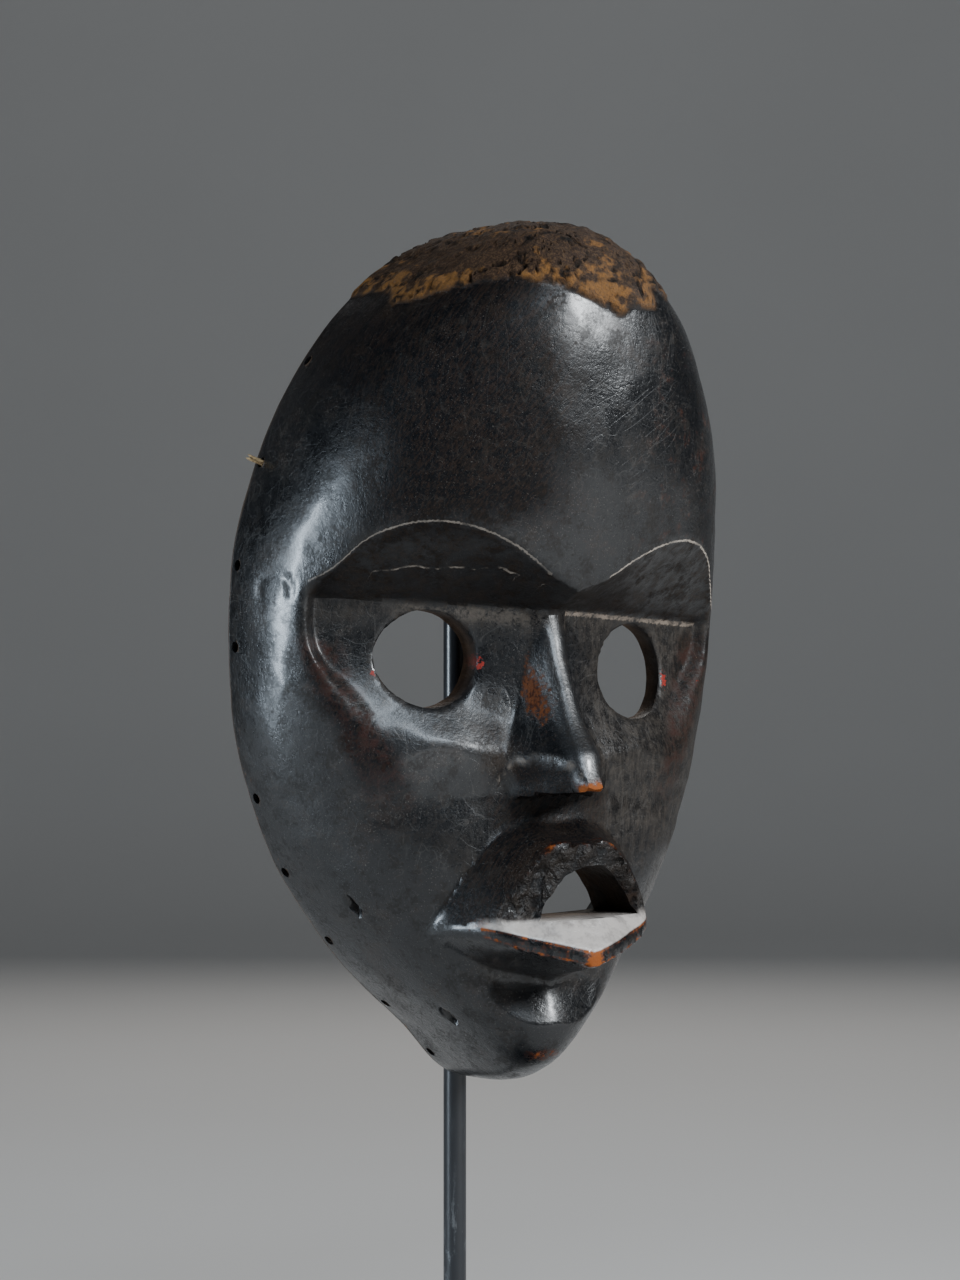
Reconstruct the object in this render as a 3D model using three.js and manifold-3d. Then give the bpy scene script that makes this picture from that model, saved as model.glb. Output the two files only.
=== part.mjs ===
import * as THREE from "three";
import { mergeVertices } from "three/addons/utils/BufferGeometryUtils.js";
import Module from "manifold-3d";

// Carved wooden face mask held up by a steel display stand.
// Millimetres, +Z up. The face looks along -Y, and the origin is the centre
// of the stand's underside. The carving is worked out in its own frame:
// x to the viewer's right, f forward out of the rim's plane, z up from the chin.

// Mask, overall
const MASK_HEIGHT = 234;
const MASK_WIDTH = 146;
const MASK_DEPTH = 82;
const SIDE_WALL = 7;
const FACE_WALL = 7.5;

// Mask, openings
const EYE_HOLE_DIAMETER = 26;
const RIM_HOLE_DIAMETER = 3;
const RIM_HOLE_INSET = 4.5;

// Stand
const ROD_DIAMETER = 6.4;
const ROD_BEND_RADIUS = 14;
const CHIN_ABOVE_BASE = 103;
const ARM_DIAMETER = 4.8;
const ARM_HEIGHT_SHARE = 0.86;
const ARM_DEPTH_SHARE = 0.38;
const PAD_DIAMETER = 12;
const PAD_THICKNESS = 5;
const PAD_GRIP = 6;
const BASE_WIDTH = 130;
const BASE_DEPTH = 100;
const BASE_THICKNESS = 12;
const BASE_BEVEL = 1;
const ROD_SEAT_DEPTH = 8;
const ROD_BEHIND_CENTRE = 26;

// Peg left in one of the rim's holes
const PEG_LENGTH = 13;
const PEG_STICKS_OUT = 5;

// Fits
const CLEARANCE = 0.3;

// Fineness
const OUTER_ROWS = 72;
const OUTER_COLUMNS = 46;
const HOLLOW_ROWS = 22;
const HOLLOW_COLUMNS = 16;
const RELAX_ROUNDS = 160;
const EASE = 0.5;
const LEAST_PULL = 1;
const RELIEF_PULL = 2.5;
const ROUND_SIDES = 12;
const BEND_STEPS = 6;
const SEARCH_STEPS = 40;
const EYE_SIDES = 24;
const RIM_HOLE_SIDES = 8;

// The carving's tables are written for this size and stretched to the one above.
const DRAWN = { height: 234, width: 146, depth: 82 };
const STRETCH = {
  x: MASK_WIDTH / DRAWN.width,
  f: MASK_DEPTH / DRAWN.depth,
  z: MASK_HEIGHT / DRAWN.height,
};

// Small mathematics

function clamp(value, low, high) {
  return Math.min(Math.max(value, low), high);
}

function smooth(from, to, value) {
  const t = clamp((value - from) / (to - from), 0, 1);
  return t * t * (3 - 2 * t);
}

function softMin(a, b, width) {
  const h = clamp(0.5 + (0.5 * (b - a)) / width, 0, 1);
  return b * (1 - h) + a * h - width * h * (1 - h);
}

function softMax(a, b, width) {
  return -softMin(-a, -b, width);
}

function mix(a, b, share) {
  return a + (b - a) * share;
}

// A smooth curve through a few (place, value) points, level past its ends.
function curve(points) {
  const last = points.length - 1;
  const slopes = points.map(([x, y], i) => {
    if (i === 0) return (points[1][1] - y) / (points[1][0] - x);
    if (i === last) return (y - points[i - 1][1]) / (x - points[i - 1][0]);
    const before = x - points[i - 1][0];
    const after = points[i + 1][0] - x;
    const rise = before * before * points[i + 1][1] - after * after * points[i - 1][1];
    return (rise + (after * after - before * before) * y) / (before * after * (before + after));
  });
  return (place) => {
    let i = 0;
    while (i < last - 1 && place > points[i + 1][0]) i += 1;
    const [x0, y0] = points[i];
    const [x1, y1] = points[i + 1];
    const h = x1 - x0;
    const s = clamp((place - x0) / h, 0, 1);
    const s2 = s * s;
    const s3 = s2 * s;
    return (2 * s3 - 3 * s2 + 1) * y0 + (s3 - 2 * s2 + s) * h * slopes[i]
      + (3 * s2 - 2 * s3) * y1 + (s3 - s2) * h * slopes[i + 1];
  };
}

// Outline and dome of the mask

const WIDEST = 124;
const BLUNTNESS = 2.2;
const CROWN_ROUNDNESS = 0.59;
const JAW_ROUNDNESS = 2.45;
const CHIN_WIDTH = 0.5;
const TOP_LEAN = 1.6;

const CROWN_FULLNESS = 0.36;
const CHIN_FULLNESS = 0.52;

const depthAt = curve([[0, 77], [0.03, 77], [0.085, 71.5], [0.15, 61.8], [0.25, 56], [0.37, 52.2],
  [0.45, 55.2], [0.53, 60.5], [0.62, 67], [0.72, 74], [0.82, 79.5], [0.92, 86], [1, 92]]);
const squarenessAt = curve([[0, 2.6], [0.1, 2.3], [0.2, 2.1], [0.45, 2], [0.62, 2.05],
  [0.72, 2.3], [0.82, 2.6], [0.9, 3], [1, 3]]);

// Half width and height of the outline at w, which runs from -1 at the chin to 1 at the top.
function outline(w, inset = 0) {
  const c = Math.cos((Math.PI * w) / 2) ** BLUNTNESS;
  const s = Math.sign(w) * Math.sqrt(1 - c * c);
  const round = Math.max(1 - s * s, 0);
  const crown = round ** CROWN_ROUNDNESS;
  const jaw = softMax(1 - Math.abs(s) ** JAW_ROUNDNESS, CHIN_WIDTH * Math.sqrt(round), 0.06);
  const share = s > 0 ? crown : jaw * smooth(0, 0.02, c);
  const reach = s > 0 ? DRAWN.height - WIDEST : WIDEST;
  return {
    c,
    s,
    halfWidth: (DRAWN.width / 2 - inset / STRETCH.x) * share,
    z: WIDEST + (reach - inset / STRETCH.z) * s,
  };
}

// A point of the plain dome; phi runs from -1 to 1 across the mask.
function dome(w, phi, inset = 0) {
  const { c, s, halfWidth, z } = outline(w, inset);
  const t = z / DRAWN.height;
  const depth = (depthAt(t) - inset / STRETCH.f) * c ** (s > 0 ? CROWN_FULLNESS : CHIN_FULLNESS);
  const power = 2 / squarenessAt(t);
  const angle = (Math.PI / 2) * phi;
  const across = Math.sign(phi) * Math.abs(Math.sin(angle)) ** power;
  const forward = Math.max(Math.cos(angle), 0) ** power;
  const lean = TOP_LEAN * smooth(130, 225, z);
  return { x: halfWidth * across + lean, f: Math.abs(phi) > 0.9999 ? 0 : depth * forward, z };
}

// The recessed face below the brows

const CREASE = 129;
const EYE_TILT = 0.055;
const ridgeAt = curve([[0, 14], [20, 24], [45, 35], [62, 41], [78, 46], [89, 50], [100, 54.5],
  [108, 58.5], [121, 62.5], [132, 63], [145, 60], [160, 56]]);
const faceMiddleAt = curve([[0, 54], [9, 54], [20, 51], [28, 49], [38, 50], [60, 51.5], [70, 53],
  [78, 54], [84, 53.6], [92, 51.2], [100, 49], [108, 48], [118, 48.5], [130, 49.5], [150, 54]]);
const faceSlopeAt = curve([[0, 0.35], [20, 0.3], [40, 0.26], [60, 0.16], [80, 0.13], [92, 0.15],
  [102, 0.27], [115, 0.38], [130, 0.4]]);
const faceFallAt = curve([[0, 10], [40, 11], [70, 12], [90, 11], [100, 5], [112, 1], [125, 0.5]]);
const browAt = curve([[0, 134], [7.5, 137.2], [18, 143.8], [30, 148.8], [40, 150], [48, 148.3],
  [54, 144.5], [60, 136.5], [66, 131.5]]);

function faceDepth(x, z) {
  const side = Math.sqrt(x * x + 16) - 4;
  const fall = faceFallAt(z) * smooth(0.45, 1.05, side / ridgeAt(z));
  return faceMiddleAt(z) - faceSlopeAt(z) * side - fall;
}

function recess(x, f, z) {
  const side = Math.abs(x);
  const edge = ridgeAt(z);
  const level = z + EYE_TILT * x * smooth(70, 105, z);
  const brow = browAt(side);
  const soft = smooth(120, 102, z);
  const inside = smooth(edge + 3 + 2 * soft, edge - 3.5 - 6.5 * soft, side);
  const below = smooth(brow + 0.5, brow - 0.7, level);
  const cheek = 1 - smooth(88, 62, z) * smooth(0.45, 0.85, side / edge);
  const flat = faceDepth(x, level);
  const rise = clamp((level - CREASE) / Math.max(brow - CREASE, 3), 0, 1.2);
  const wanted = level > CREASE ? mix(flat, f, rise ** 0.85) : flat;
  return mix(f, Math.min(wanted, f), inside * below * smooth(3, 22, z) * cheek);
}

// The nose

const NOSE_FOOT = 81.2;
const NOSE_FOOT_SLOPE = 0.2;
const noseCrestAt = curve([[0, 50.5], [0.15, 51.8], [0.4, 56.5], [0.65, 63], [0.85, 70.5], [1, 76]]);
const noseHalfWidthAt = curve([[0, 5], [0.3, 6.5], [0.6, 10.5], [0.85, 15.5], [1, 18]]);
const noseRidgeAt = curve([[0, 2.8], [0.4, 3], [0.7, 3.8], [0.9, 4.8], [1, 5.4]]);
const RIDGE_FLATNESS = 3;
const WING = { middle: 9.5, reach: 7.5, rise: 8, step: 1.2, hollow: 6 };

function nose(x, f, z) {
  const side = Math.abs(x);
  const down = clamp((CREASE - z) / (CREASE - NOSE_FOOT), 0, 1);
  const half = noseHalfWidthAt(down);
  const blunt = clamp(noseRidgeAt(down) / half, 0, 0.6);
  const r = side / half;
  const lost = blunt * (1 - 1 / RIDGE_FLATNESS);
  const rounded = 1 - lost - (blunt / RIDGE_FLATNESS) * (r / blunt) ** RIDGE_FLATNESS;
  const section = (r < blunt ? rounded : 1 - r) / (1 - lost);
  const height = (noseCrestAt(down) - faceDepth(0, z)) * softMax(section, 0, 0.07);
  const arc = 1 - ((side - WING.middle) / WING.reach) ** 2;
  const wing = NOSE_FOOT + WING.rise * Math.sqrt(Math.max(arc, 0));
  const below = WING.step * smooth(0, 1.5, wing - z) + WING.hollow * smooth(0, WING.rise, wing - z);
  const scoop = below * smooth(1.5, 4.5, side);
  const foot = NOSE_FOOT - NOSE_FOOT_SLOPE * side;
  const ends = smooth(foot - 0.6, foot + 0.5, z) * smooth(133, 121, z);
  return f + Math.max(height - scoop, -0.4) * ends;
}

// The lips, as one pouting wedge

const MOUTH_TILT = 0.03;
const LIP_CORNER = 29;
const LIP_END = 33;
const lipTopAt = curve([[0, 73], [12, 72.5], [24, 61], [31, 49.5], [38, 46]]);
const lipEdgeAt = curve([[0, 66.6], [9.7, 66.2], [18, 56.5], [26.5, 47], [36, 46], [46, 45]]);
const lipFrontAt = curve([[0, 67], [9.7, 66], [18, 62.5], [25, 56.5], [30, 46], [34, 38]]);
const lowerLipAt = curve([[0, 38.6], [9, 41], [18, 43.5], [26.5, 45.8], [36, 45.8], [46, 45]]);
const lowerLipFrontAt = curve([[0, 72], [3, 71.5], [14, 66], [25, 57], [30, 46], [34, 38]]);
const lipBandAt = curve([[0, 3.8], [20, 3.2], [27, 2], [36, 1.6]]);
const lipPlaneAt = curve([[0, 2], [9, 1.8], [16, 1], [40, 1]]);
const lipUndersideAt = curve([[0, 6], [25, 6], [36, 4]]);
const LIP_DISH = 5;

function lips(x, f, z) {
  const side = Math.abs(x);
  if (side >= LIP_END) return f;
  const level = z - MOUTH_TILT * x;
  const top = lipTopAt(side);
  const edge = lipEdgeAt(side);
  const front = lipFrontAt(side);
  const low = lowerLipAt(side);
  const lowFront = lowerLipFrontAt(side);
  const foot = low - lipBandAt(side);
  let wanted = f;
  if (level > edge) {
    const share = clamp((top - level) / Math.max(top - edge, 1), 0, 1);
    wanted = Math.max(f, mix(f, front, share ** lipPlaneAt(side)));
  } else if (level > low) {
    const share = clamp((edge - level) / Math.max(edge - low, 1), 0, 1);
    const dish = LIP_DISH * Math.sin(Math.PI * share) * smooth(25, 12, side);
    wanted = mix(front, lowFront, share) - dish;
  } else if (level > foot) {
    wanted = Math.max(f, lowFront);
  } else {
    const share = clamp((foot - level) / lipUndersideAt(side), 0, 1);
    wanted = Math.max(f, mix(lowFront, f, smooth(0, 1, share) ** 0.6));
  }
  return mix(f, wanted, smooth(LIP_END, LIP_CORNER, side));
}

// The carved front and the hollow behind it, stretched to the mask's size

function stretched(x, f, z) {
  return new THREE.Vector3(x * STRETCH.x, -f * STRETCH.f, z * STRETCH.z);
}

function frontPoint(w, phi) {
  const { x, f, z } = dome(w, phi);
  const carved = lips(x, nose(x, recess(x, f, z), z), z);
  const point = stretched(x, carved, z);
  point.relief = carved - f;
  return point;
}

const HOLLOW_RISE = [128, 158];
const HOLLOW_SOFTNESS = 5;

// The hollow's depth where its own dome would be f deep, with spare room left all round.
function hollowDepth(x, f, z, spare) {
  const wall = (FACE_WALL + spare) / STRETCH.f;
  const behindFace = faceDepth(x, z) - wall;
  const level = mix(behindFace, Math.max(f, behindFace) + HOLLOW_SOFTNESS, smooth(...HOLLOW_RISE, z));
  return Math.max(softMin(f, level, HOLLOW_SOFTNESS), 0);
}

function hollowPoint(w, phi, spare = 0) {
  const { x, f, z } = dome(w, phi, SIDE_WALL + spare);
  const edge = Math.abs(phi) > 0.9999 || Math.abs(w) > 0.9999;
  return stretched(x, edge ? 0 : hollowDepth(x, f, z, spare), z);
}

// Meshes from a grid of (w, phi) places

// Spreads the grid's places so that neighbouring points lie about as far apart everywhere.
function spreadGrid(rows, columns, pointAt, rounds) {
  const place = (i, j) => ({ w: (2 * (i + 1)) / (rows + 1) - 1, phi: (2 * j) / (columns - 1) - 1 });
  let grid = Array.from({ length: rows }, (_, i) => Array.from({ length: columns }, (_, j) => place(i, j)));
  for (let round = 0; round < rounds; round += 1) {
    const points = grid.map((row) => row.map(({ w, phi }) => pointAt(w, phi)));
    const bottom = pointAt(-1, 0);
    const top = pointAt(1, 0);
    grid = grid.map((row, i) => row.map((at, j) => {
      let weight = 0;
      let w = 0;
      let phi = 0;
      const pull = (other, point) => {
        const relief = Math.abs((points[i][j].relief ?? 0) - (point.relief ?? 0));
        const length = points[i][j].distanceTo(point) + RELIEF_PULL * relief + LEAST_PULL;
        weight += length;
        w += length * other.w;
        phi += length * other.phi;
      };
      pull(i > 0 ? grid[i - 1][j] : { w: -1, phi: at.phi }, i > 0 ? points[i - 1][j] : bottom);
      pull(i < rows - 1 ? grid[i + 1][j] : { w: 1, phi: at.phi }, i < rows - 1 ? points[i + 1][j] : top);
      if (j > 0 && j < columns - 1) {
        pull(grid[i][j - 1], points[i][j - 1]);
        pull(grid[i][j + 1], points[i][j + 1]);
        return { w: mix(at.w, w / weight, EASE), phi: mix(at.phi, phi / weight, EASE) };
      }
      return { w: mix(at.w, w / weight, EASE), phi: at.phi };
    }));
  }
  return grid;
}

// True where a four-cornered patch lies closer to the form when folded from its first corner
// to its third.
function foldsRising(corners, pointAt) {
  const mean = (name) => corners.reduce((sum, corner) => sum + corner[name] / corners.length, 0);
  const centre = pointAt(mean("w"), mean("phi"));
  const [a, b, c, d] = corners.map(({ w, phi }) => pointAt(w, phi));
  const gap = (p, q) => p.clone().add(q).multiplyScalar(0.5).distanceTo(centre);
  return gap(a, c) < gap(b, d);
}

// Closes a grid of points into one body: front, a rim wall back to backY, and a flat back.
function closedBody(grid, pointAt, backY) {
  const positions = [];
  const triangles = [];
  const add = (point) => positions.push(point.x, point.y, point.z) / 3 - 1;
  const rows = grid.length;
  const columns = grid[0].length;
  const index = grid.map((row) => row.map(({ w, phi }) => add(pointAt(w, phi))));
  const bottom = add(pointAt(-1, 0));
  const top = add(pointAt(1, 0));
  for (let i = 0; i < rows - 1; i += 1) {
    for (let j = 0; j < columns - 1; j += 1) {
      const corners = [grid[i][j], grid[i][j + 1], grid[i + 1][j + 1], grid[i + 1][j]];
      const [a, b, c, d] = [index[i][j], index[i][j + 1], index[i + 1][j + 1], index[i + 1][j]];
      if (foldsRising(corners, pointAt)) triangles.push(a, b, c, a, c, d);
      else triangles.push(a, b, d, b, c, d);
    }
  }
  for (let j = 0; j < columns - 1; j += 1) {
    triangles.push(bottom, index[0][j + 1], index[0][j]);
    triangles.push(top, index[rows - 1][j], index[rows - 1][j + 1]);
  }
  const right = index.map((row) => row[columns - 1]);
  const left = index.map((row) => row[0]).reverse();
  const rim = [bottom, ...right, top, ...left];
  const onBack = (i) => new THREE.Vector3(positions[3 * i], backY, positions[3 * i + 2]);
  const back = backY > 0 ? rim.map((i) => add(onBack(i))) : rim;
  const centre = add(new THREE.Vector3(0, backY, (WIDEST * MASK_HEIGHT) / DRAWN.height));
  rim.forEach((here, k) => {
    const next = (k + 1) % rim.length;
    if (backY > 0) triangles.push(here, back[k], back[next], here, back[next], rim[next]);
    triangles.push(back[k], centre, back[next]);
  });
  return solidFrom(positions, triangles);
}

// Solids

const wasm = await Module();
wasm.setup();

function solidFrom(positions, triangles) {
  const vertProperties = Float32Array.from(positions);
  const triVerts = Uint32Array.from(triangles);
  return new wasm.Manifold(new wasm.Mesh({ numProp: 3, vertProperties, triVerts }));
}

function solidOf(geometry) {
  const bare = geometry.index ? geometry.toNonIndexed() : geometry.clone();
  bare.deleteAttribute("normal");
  bare.deleteAttribute("uv");
  const merged = mergeVertices(bare, 1e-4);
  return solidFrom(merged.attributes.position.array, merged.index.array);
}

function geometryOf(solid) {
  const { vertProperties, triVerts } = solid.getMesh();
  const geometry = new THREE.BufferGeometry();
  geometry.setAttribute("position", new THREE.BufferAttribute(vertProperties, 3));
  geometry.setIndex(new THREE.BufferAttribute(triVerts, 1));
  return geometry;
}

// A round bar from one point to another.
function bar(from, to, diameter, sides) {
  const way = new THREE.Vector3().subVectors(to, from);
  const geometry = new THREE.CylinderGeometry(diameter / 2, diameter / 2, way.length(), sides);
  geometry.translate(0, way.length() / 2, 0);
  const turn = new THREE.Quaternion().setFromUnitVectors(new THREE.Vector3(0, 1, 0), way.normalize());
  geometry.applyQuaternion(turn);
  geometry.translate(from.x, from.y, from.z);
  return geometry;
}

// The mask

const THROUGH = 200;
const EYE = { x: 32, z: 114.2 };
const MOUTH = { x: 3.75, floor: 47, height: 14, halfWidth: 16.25, steps: 14, power: 2.2 };
const RIM_HOLE_HEIGHTS = [7, 21, 39, 58, 78, 119, 141, 169, 197];
const PEG_HOLE_HEIGHT = 169;

function eyeCutter(side) {
  const x = side * EYE.x;
  const centre = stretched(x, 0, EYE.z - EYE_TILT * x);
  const from = new THREE.Vector3(centre.x, THROUGH, centre.z);
  const to = new THREE.Vector3(centre.x, -THROUGH, centre.z);
  return solidOf(bar(from, to, EYE_HOLE_DIAMETER, EYE_SIDES));
}

function mouthCutter() {
  const arch = [];
  for (let k = 0; k <= MOUTH.steps; k += 1) {
    const across = -Math.cos((Math.PI * k) / MOUTH.steps);
    const x = MOUTH.x + MOUTH.halfWidth * across;
    const z = MOUTH.floor + MOUTH.height * Math.max(1 - Math.abs(across) ** MOUTH.power, 0) + MOUTH_TILT * x;
    arch.push(new THREE.Vector2(x * STRETCH.x, z * STRETCH.z));
  }
  const geometry = new THREE.ExtrudeGeometry(new THREE.Shape(arch), { depth: THROUGH, bevelEnabled: false });
  geometry.rotateX(Math.PI / 2);
  return solidOf(geometry);
}

// The rim at a height: its half width there and the way out of it, square to the outline.
function rimAt(height, side) {
  let low = -1;
  let high = 1;
  for (let k = 0; k < SEARCH_STEPS; k += 1) {
    const middle = (low + high) / 2;
    if (outline(middle).z < height) low = middle;
    else high = middle;
  }
  const here = frontPoint(low, side);
  const ahead = frontPoint(low + 0.01, side);
  const along = ahead.sub(here).normalize();
  const out = new THREE.Vector3(side * Math.abs(along.z), 0, -side * along.x * Math.sign(along.z));
  return { point: here, out };
}

function rimHole(height, side, diameter = RIM_HOLE_DIAMETER) {
  const { point, out } = rimAt(height, side);
  const middle = new THREE.Vector3(point.x, -RIM_HOLE_INSET, point.z);
  const from = middle.clone().addScaledVector(out, -2 * SIDE_WALL);
  return bar(from, middle.clone().addScaledVector(out, SIDE_WALL), diameter, RIM_HOLE_SIDES);
}

function hollow(spare, backY) {
  const pointAt = (w, phi) => hollowPoint(w, phi, spare);
  return closedBody(spreadGrid(HOLLOW_ROWS, HOLLOW_COLUMNS, pointAt, RELAX_ROUNDS), pointAt, backY);
}

function maskSolid() {
  const grid = spreadGrid(OUTER_ROWS, OUTER_COLUMNS, frontPoint, RELAX_ROUNDS);
  let solid = closedBody(grid, frontPoint, 0).subtract(hollow(0, SIDE_WALL));
  solid = solid.subtract(eyeCutter(-1)).subtract(eyeCutter(1)).subtract(mouthCutter());
  RIM_HOLE_HEIGHTS.forEach((height) => [-1, 1].forEach((side) => {
    solid = solid.subtract(solidOf(rimHole(height, side)));
  }));
  return solid;
}

// The stand

const ROD_RADIUS = ROD_DIAMETER / 2;
const CHIN_HEIGHT = BASE_THICKNESS + CHIN_ABOVE_BASE;
const RIM_PLANE_Y = ROD_BEHIND_CENTRE - ROD_RADIUS - CLEARANCE;
const ARM_HEIGHT = ARM_HEIGHT_SHARE * MASK_HEIGHT;
const ARM_FORWARD = ARM_DEPTH_SHARE * MASK_DEPTH;

// How far the hollow reaches to the side at a height and a depth of the mask.
function hollowReach(height, forward) {
  let low = -1;
  let high = 1;
  for (let k = 0; k < SEARCH_STEPS; k += 1) {
    const middle = (low + high) / 2;
    if (hollowPoint(middle, 0).z < height) low = middle;
    else high = middle;
  }
  let near = 0.001;
  let far = 0.999;
  for (let k = 0; k < SEARCH_STEPS; k += 1) {
    const middle = (near + far) / 2;
    if (-hollowPoint(low, middle).y > forward) near = middle;
    else far = middle;
  }
  return hollowPoint(low, near).x;
}

const ARM_END = hollowReach(ARM_HEIGHT, ARM_FORWARD) - PAD_THICKNESS;

function rodGeometry() {
  const foot = new THREE.Vector3(0, ROD_BEHIND_CENTRE, BASE_THICKNESS - ROD_SEAT_DEPTH + CLEARANCE);
  const armZ = CHIN_HEIGHT + ARM_HEIGHT;
  const bendStart = new THREE.Vector3(0, ROD_BEHIND_CENTRE, armZ - ROD_BEND_RADIUS);
  const bendEnd = new THREE.Vector3(0, ROD_BEHIND_CENTRE - ROD_BEND_RADIUS, armZ);
  const endY = RIM_PLANE_Y - ARM_FORWARD + ARM_DIAMETER / 2 + CLEARANCE;
  const rings = [foot, bendStart];
  for (let k = 1; k < BEND_STEPS; k += 1) {
    const angle = (Math.PI / 2) * (k / BEND_STEPS);
    const y = ROD_BEHIND_CENTRE - ROD_BEND_RADIUS * (1 - Math.cos(angle));
    rings.push(new THREE.Vector3(0, y, armZ - ROD_BEND_RADIUS + ROD_BEND_RADIUS * Math.sin(angle)));
  }
  rings.push(bendEnd, new THREE.Vector3(0, endY, armZ));
  return tubeThrough(rings, ROD_RADIUS, ROUND_SIDES);
}

// A round bar through points that lie in a plane of constant x, mitred at each point.
function tubeThrough(points, radius, sides) {
  const positions = [];
  const triangles = [];
  const last = points.length - 1;
  const sideways = new THREE.Vector3(1, 0, 0);
  points.forEach((point, k) => {
    const before = points[Math.max(k - 1, 0)];
    const after = points[Math.min(k + 1, last)];
    const outWay = new THREE.Vector3().subVectors(k < last ? after : point, k < last ? point : before);
    const inWay = new THREE.Vector3().subVectors(k > 0 ? point : after, k > 0 ? before : point);
    outWay.normalize();
    inWay.normalize();
    const way = inWay.clone().add(outWay).normalize();
    const stretch = 1 / way.dot(inWay);
    const across = new THREE.Vector3().crossVectors(way, sideways).multiplyScalar(stretch);
    for (let n = 0; n < sides; n += 1) {
      const angle = (2 * Math.PI * n) / sides;
      const ring = point.clone().addScaledVector(sideways, radius * Math.cos(angle));
      ring.addScaledVector(across, radius * Math.sin(angle));
      positions.push(ring.x, ring.y, ring.z);
    }
  });
  for (let k = 0; k < last; k += 1) {
    for (let n = 0; n < sides; n += 1) {
      const next = (n + 1) % sides;
      const [a, b, c, d] = [k * sides + n, k * sides + next, (k + 1) * sides + next, (k + 1) * sides + n];
      triangles.push(a, b, c, a, c, d);
    }
  }
  for (let n = 1; n < sides - 1; n += 1) {
    triangles.push(0, n + 1, n);
    triangles.push(last * sides, last * sides + n, last * sides + n + 1);
  }
  const geometry = new THREE.BufferGeometry();
  geometry.setAttribute("position", new THREE.Float32BufferAttribute(positions, 3));
  geometry.setIndex(triangles);
  return geometry;
}

// Points of the arm and its pads, in the mask's own frame
function armPoint(x) {
  return new THREE.Vector3(x, -ARM_FORWARD, ARM_HEIGHT);
}

function armGeometry() {
  return bar(armPoint(-ARM_END), armPoint(ARM_END), ARM_DIAMETER, ROUND_SIDES);
}

// A pad reaches past the hollow's wall before it is trimmed to it.
function padGeometry(side) {
  const inner = side * (ARM_END - PAD_GRIP);
  const outer = side * (ARM_END + PAD_GRIP + PAD_THICKNESS);
  const body = solidOf(bar(armPoint(inner), armPoint(outer), PAD_DIAMETER, ROUND_SIDES));
  const socketEnd = armPoint(side * (ARM_END + CLEARANCE));
  const socketStart = armPoint(inner - side * PAD_THICKNESS);
  const socket = solidOf(bar(socketStart, socketEnd, ARM_DIAMETER + 2 * CLEARANCE, ROUND_SIDES));
  return geometryOf(body.subtract(socket).intersect(hollow(CLEARANCE, SIDE_WALL)));
}

function baseGeometry() {
  const shape = new THREE.Shape();
  const halfX = BASE_WIDTH / 2 - BASE_BEVEL;
  const halfY = BASE_DEPTH / 2 - BASE_BEVEL;
  shape.moveTo(-halfX, -halfY).lineTo(halfX, -halfY).lineTo(halfX, halfY).lineTo(-halfX, halfY).closePath();
  const geometry = new THREE.ExtrudeGeometry(shape, {
    depth: BASE_THICKNESS - 2 * BASE_BEVEL,
    bevelEnabled: true,
    bevelThickness: BASE_BEVEL,
    bevelSize: BASE_BEVEL,
    bevelSegments: 1,
  });
  geometry.translate(0, 0, BASE_BEVEL);
  const seatFloor = new THREE.Vector3(0, ROD_BEHIND_CENTRE, BASE_THICKNESS - ROD_SEAT_DEPTH);
  const above = new THREE.Vector3(0, ROD_BEHIND_CENTRE, BASE_THICKNESS + ROD_SEAT_DEPTH);
  const seat = bar(seatFloor, above, ROD_DIAMETER + 2 * CLEARANCE, ROUND_SIDES);
  return geometryOf(solidOf(geometry).subtract(solidOf(seat)));
}

function pegGeometry() {
  const { point, out } = rimAt(PEG_HOLE_HEIGHT, -1);
  const middle = new THREE.Vector3(point.x, -RIM_HOLE_INSET, point.z);
  const tip = middle.clone().addScaledVector(out, PEG_STICKS_OUT);
  const inner = tip.clone().addScaledVector(out, -PEG_LENGTH);
  return bar(inner, tip, RIM_HOLE_DIAMETER - 2 * CLEARANCE, RIM_HOLE_SIDES);
}

// The whole

function piece(name, geometry, material) {
  const mesh = new THREE.Mesh(geometry, material);
  mesh.name = name;
  return mesh;
}

const wood = new THREE.MeshStandardMaterial({ color: 0x1d1a1a, roughness: 0.35, metalness: 0 });
const paintedSteel = new THREE.MeshStandardMaterial({ color: 0x15181c, roughness: 0.4, metalness: 0.6 });
const felt = new THREE.MeshStandardMaterial({ color: 0x2b2724, roughness: 0.95, metalness: 0 });
const fibre = new THREE.MeshStandardMaterial({ color: 0xb79a6c, roughness: 0.9, metalness: 0 });

const maskGroup = new THREE.Group();
maskGroup.position.set(0, RIM_PLANE_Y, CHIN_HEIGHT);
maskGroup.add(piece("mask", geometryOf(maskSolid()), wood));
maskGroup.add(piece("rim_peg", pegGeometry(), fibre));
maskGroup.add(piece("cross_arm", armGeometry(), paintedSteel));
maskGroup.add(piece("pad_left", padGeometry(-1), felt));
maskGroup.add(piece("pad_right", padGeometry(1), felt));

const assembly = new THREE.Group();
assembly.add(maskGroup);
assembly.add(piece("rod", rodGeometry(), paintedSteel));
assembly.add(piece("base_plate", baseGeometry(), paintedSteel));

export default assembly;
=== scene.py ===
"""A carved wooden face mask on its display stand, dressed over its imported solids."""
import logging
import math
from collections.abc import Callable
from dataclasses import dataclass, field
from enum import Enum

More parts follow.
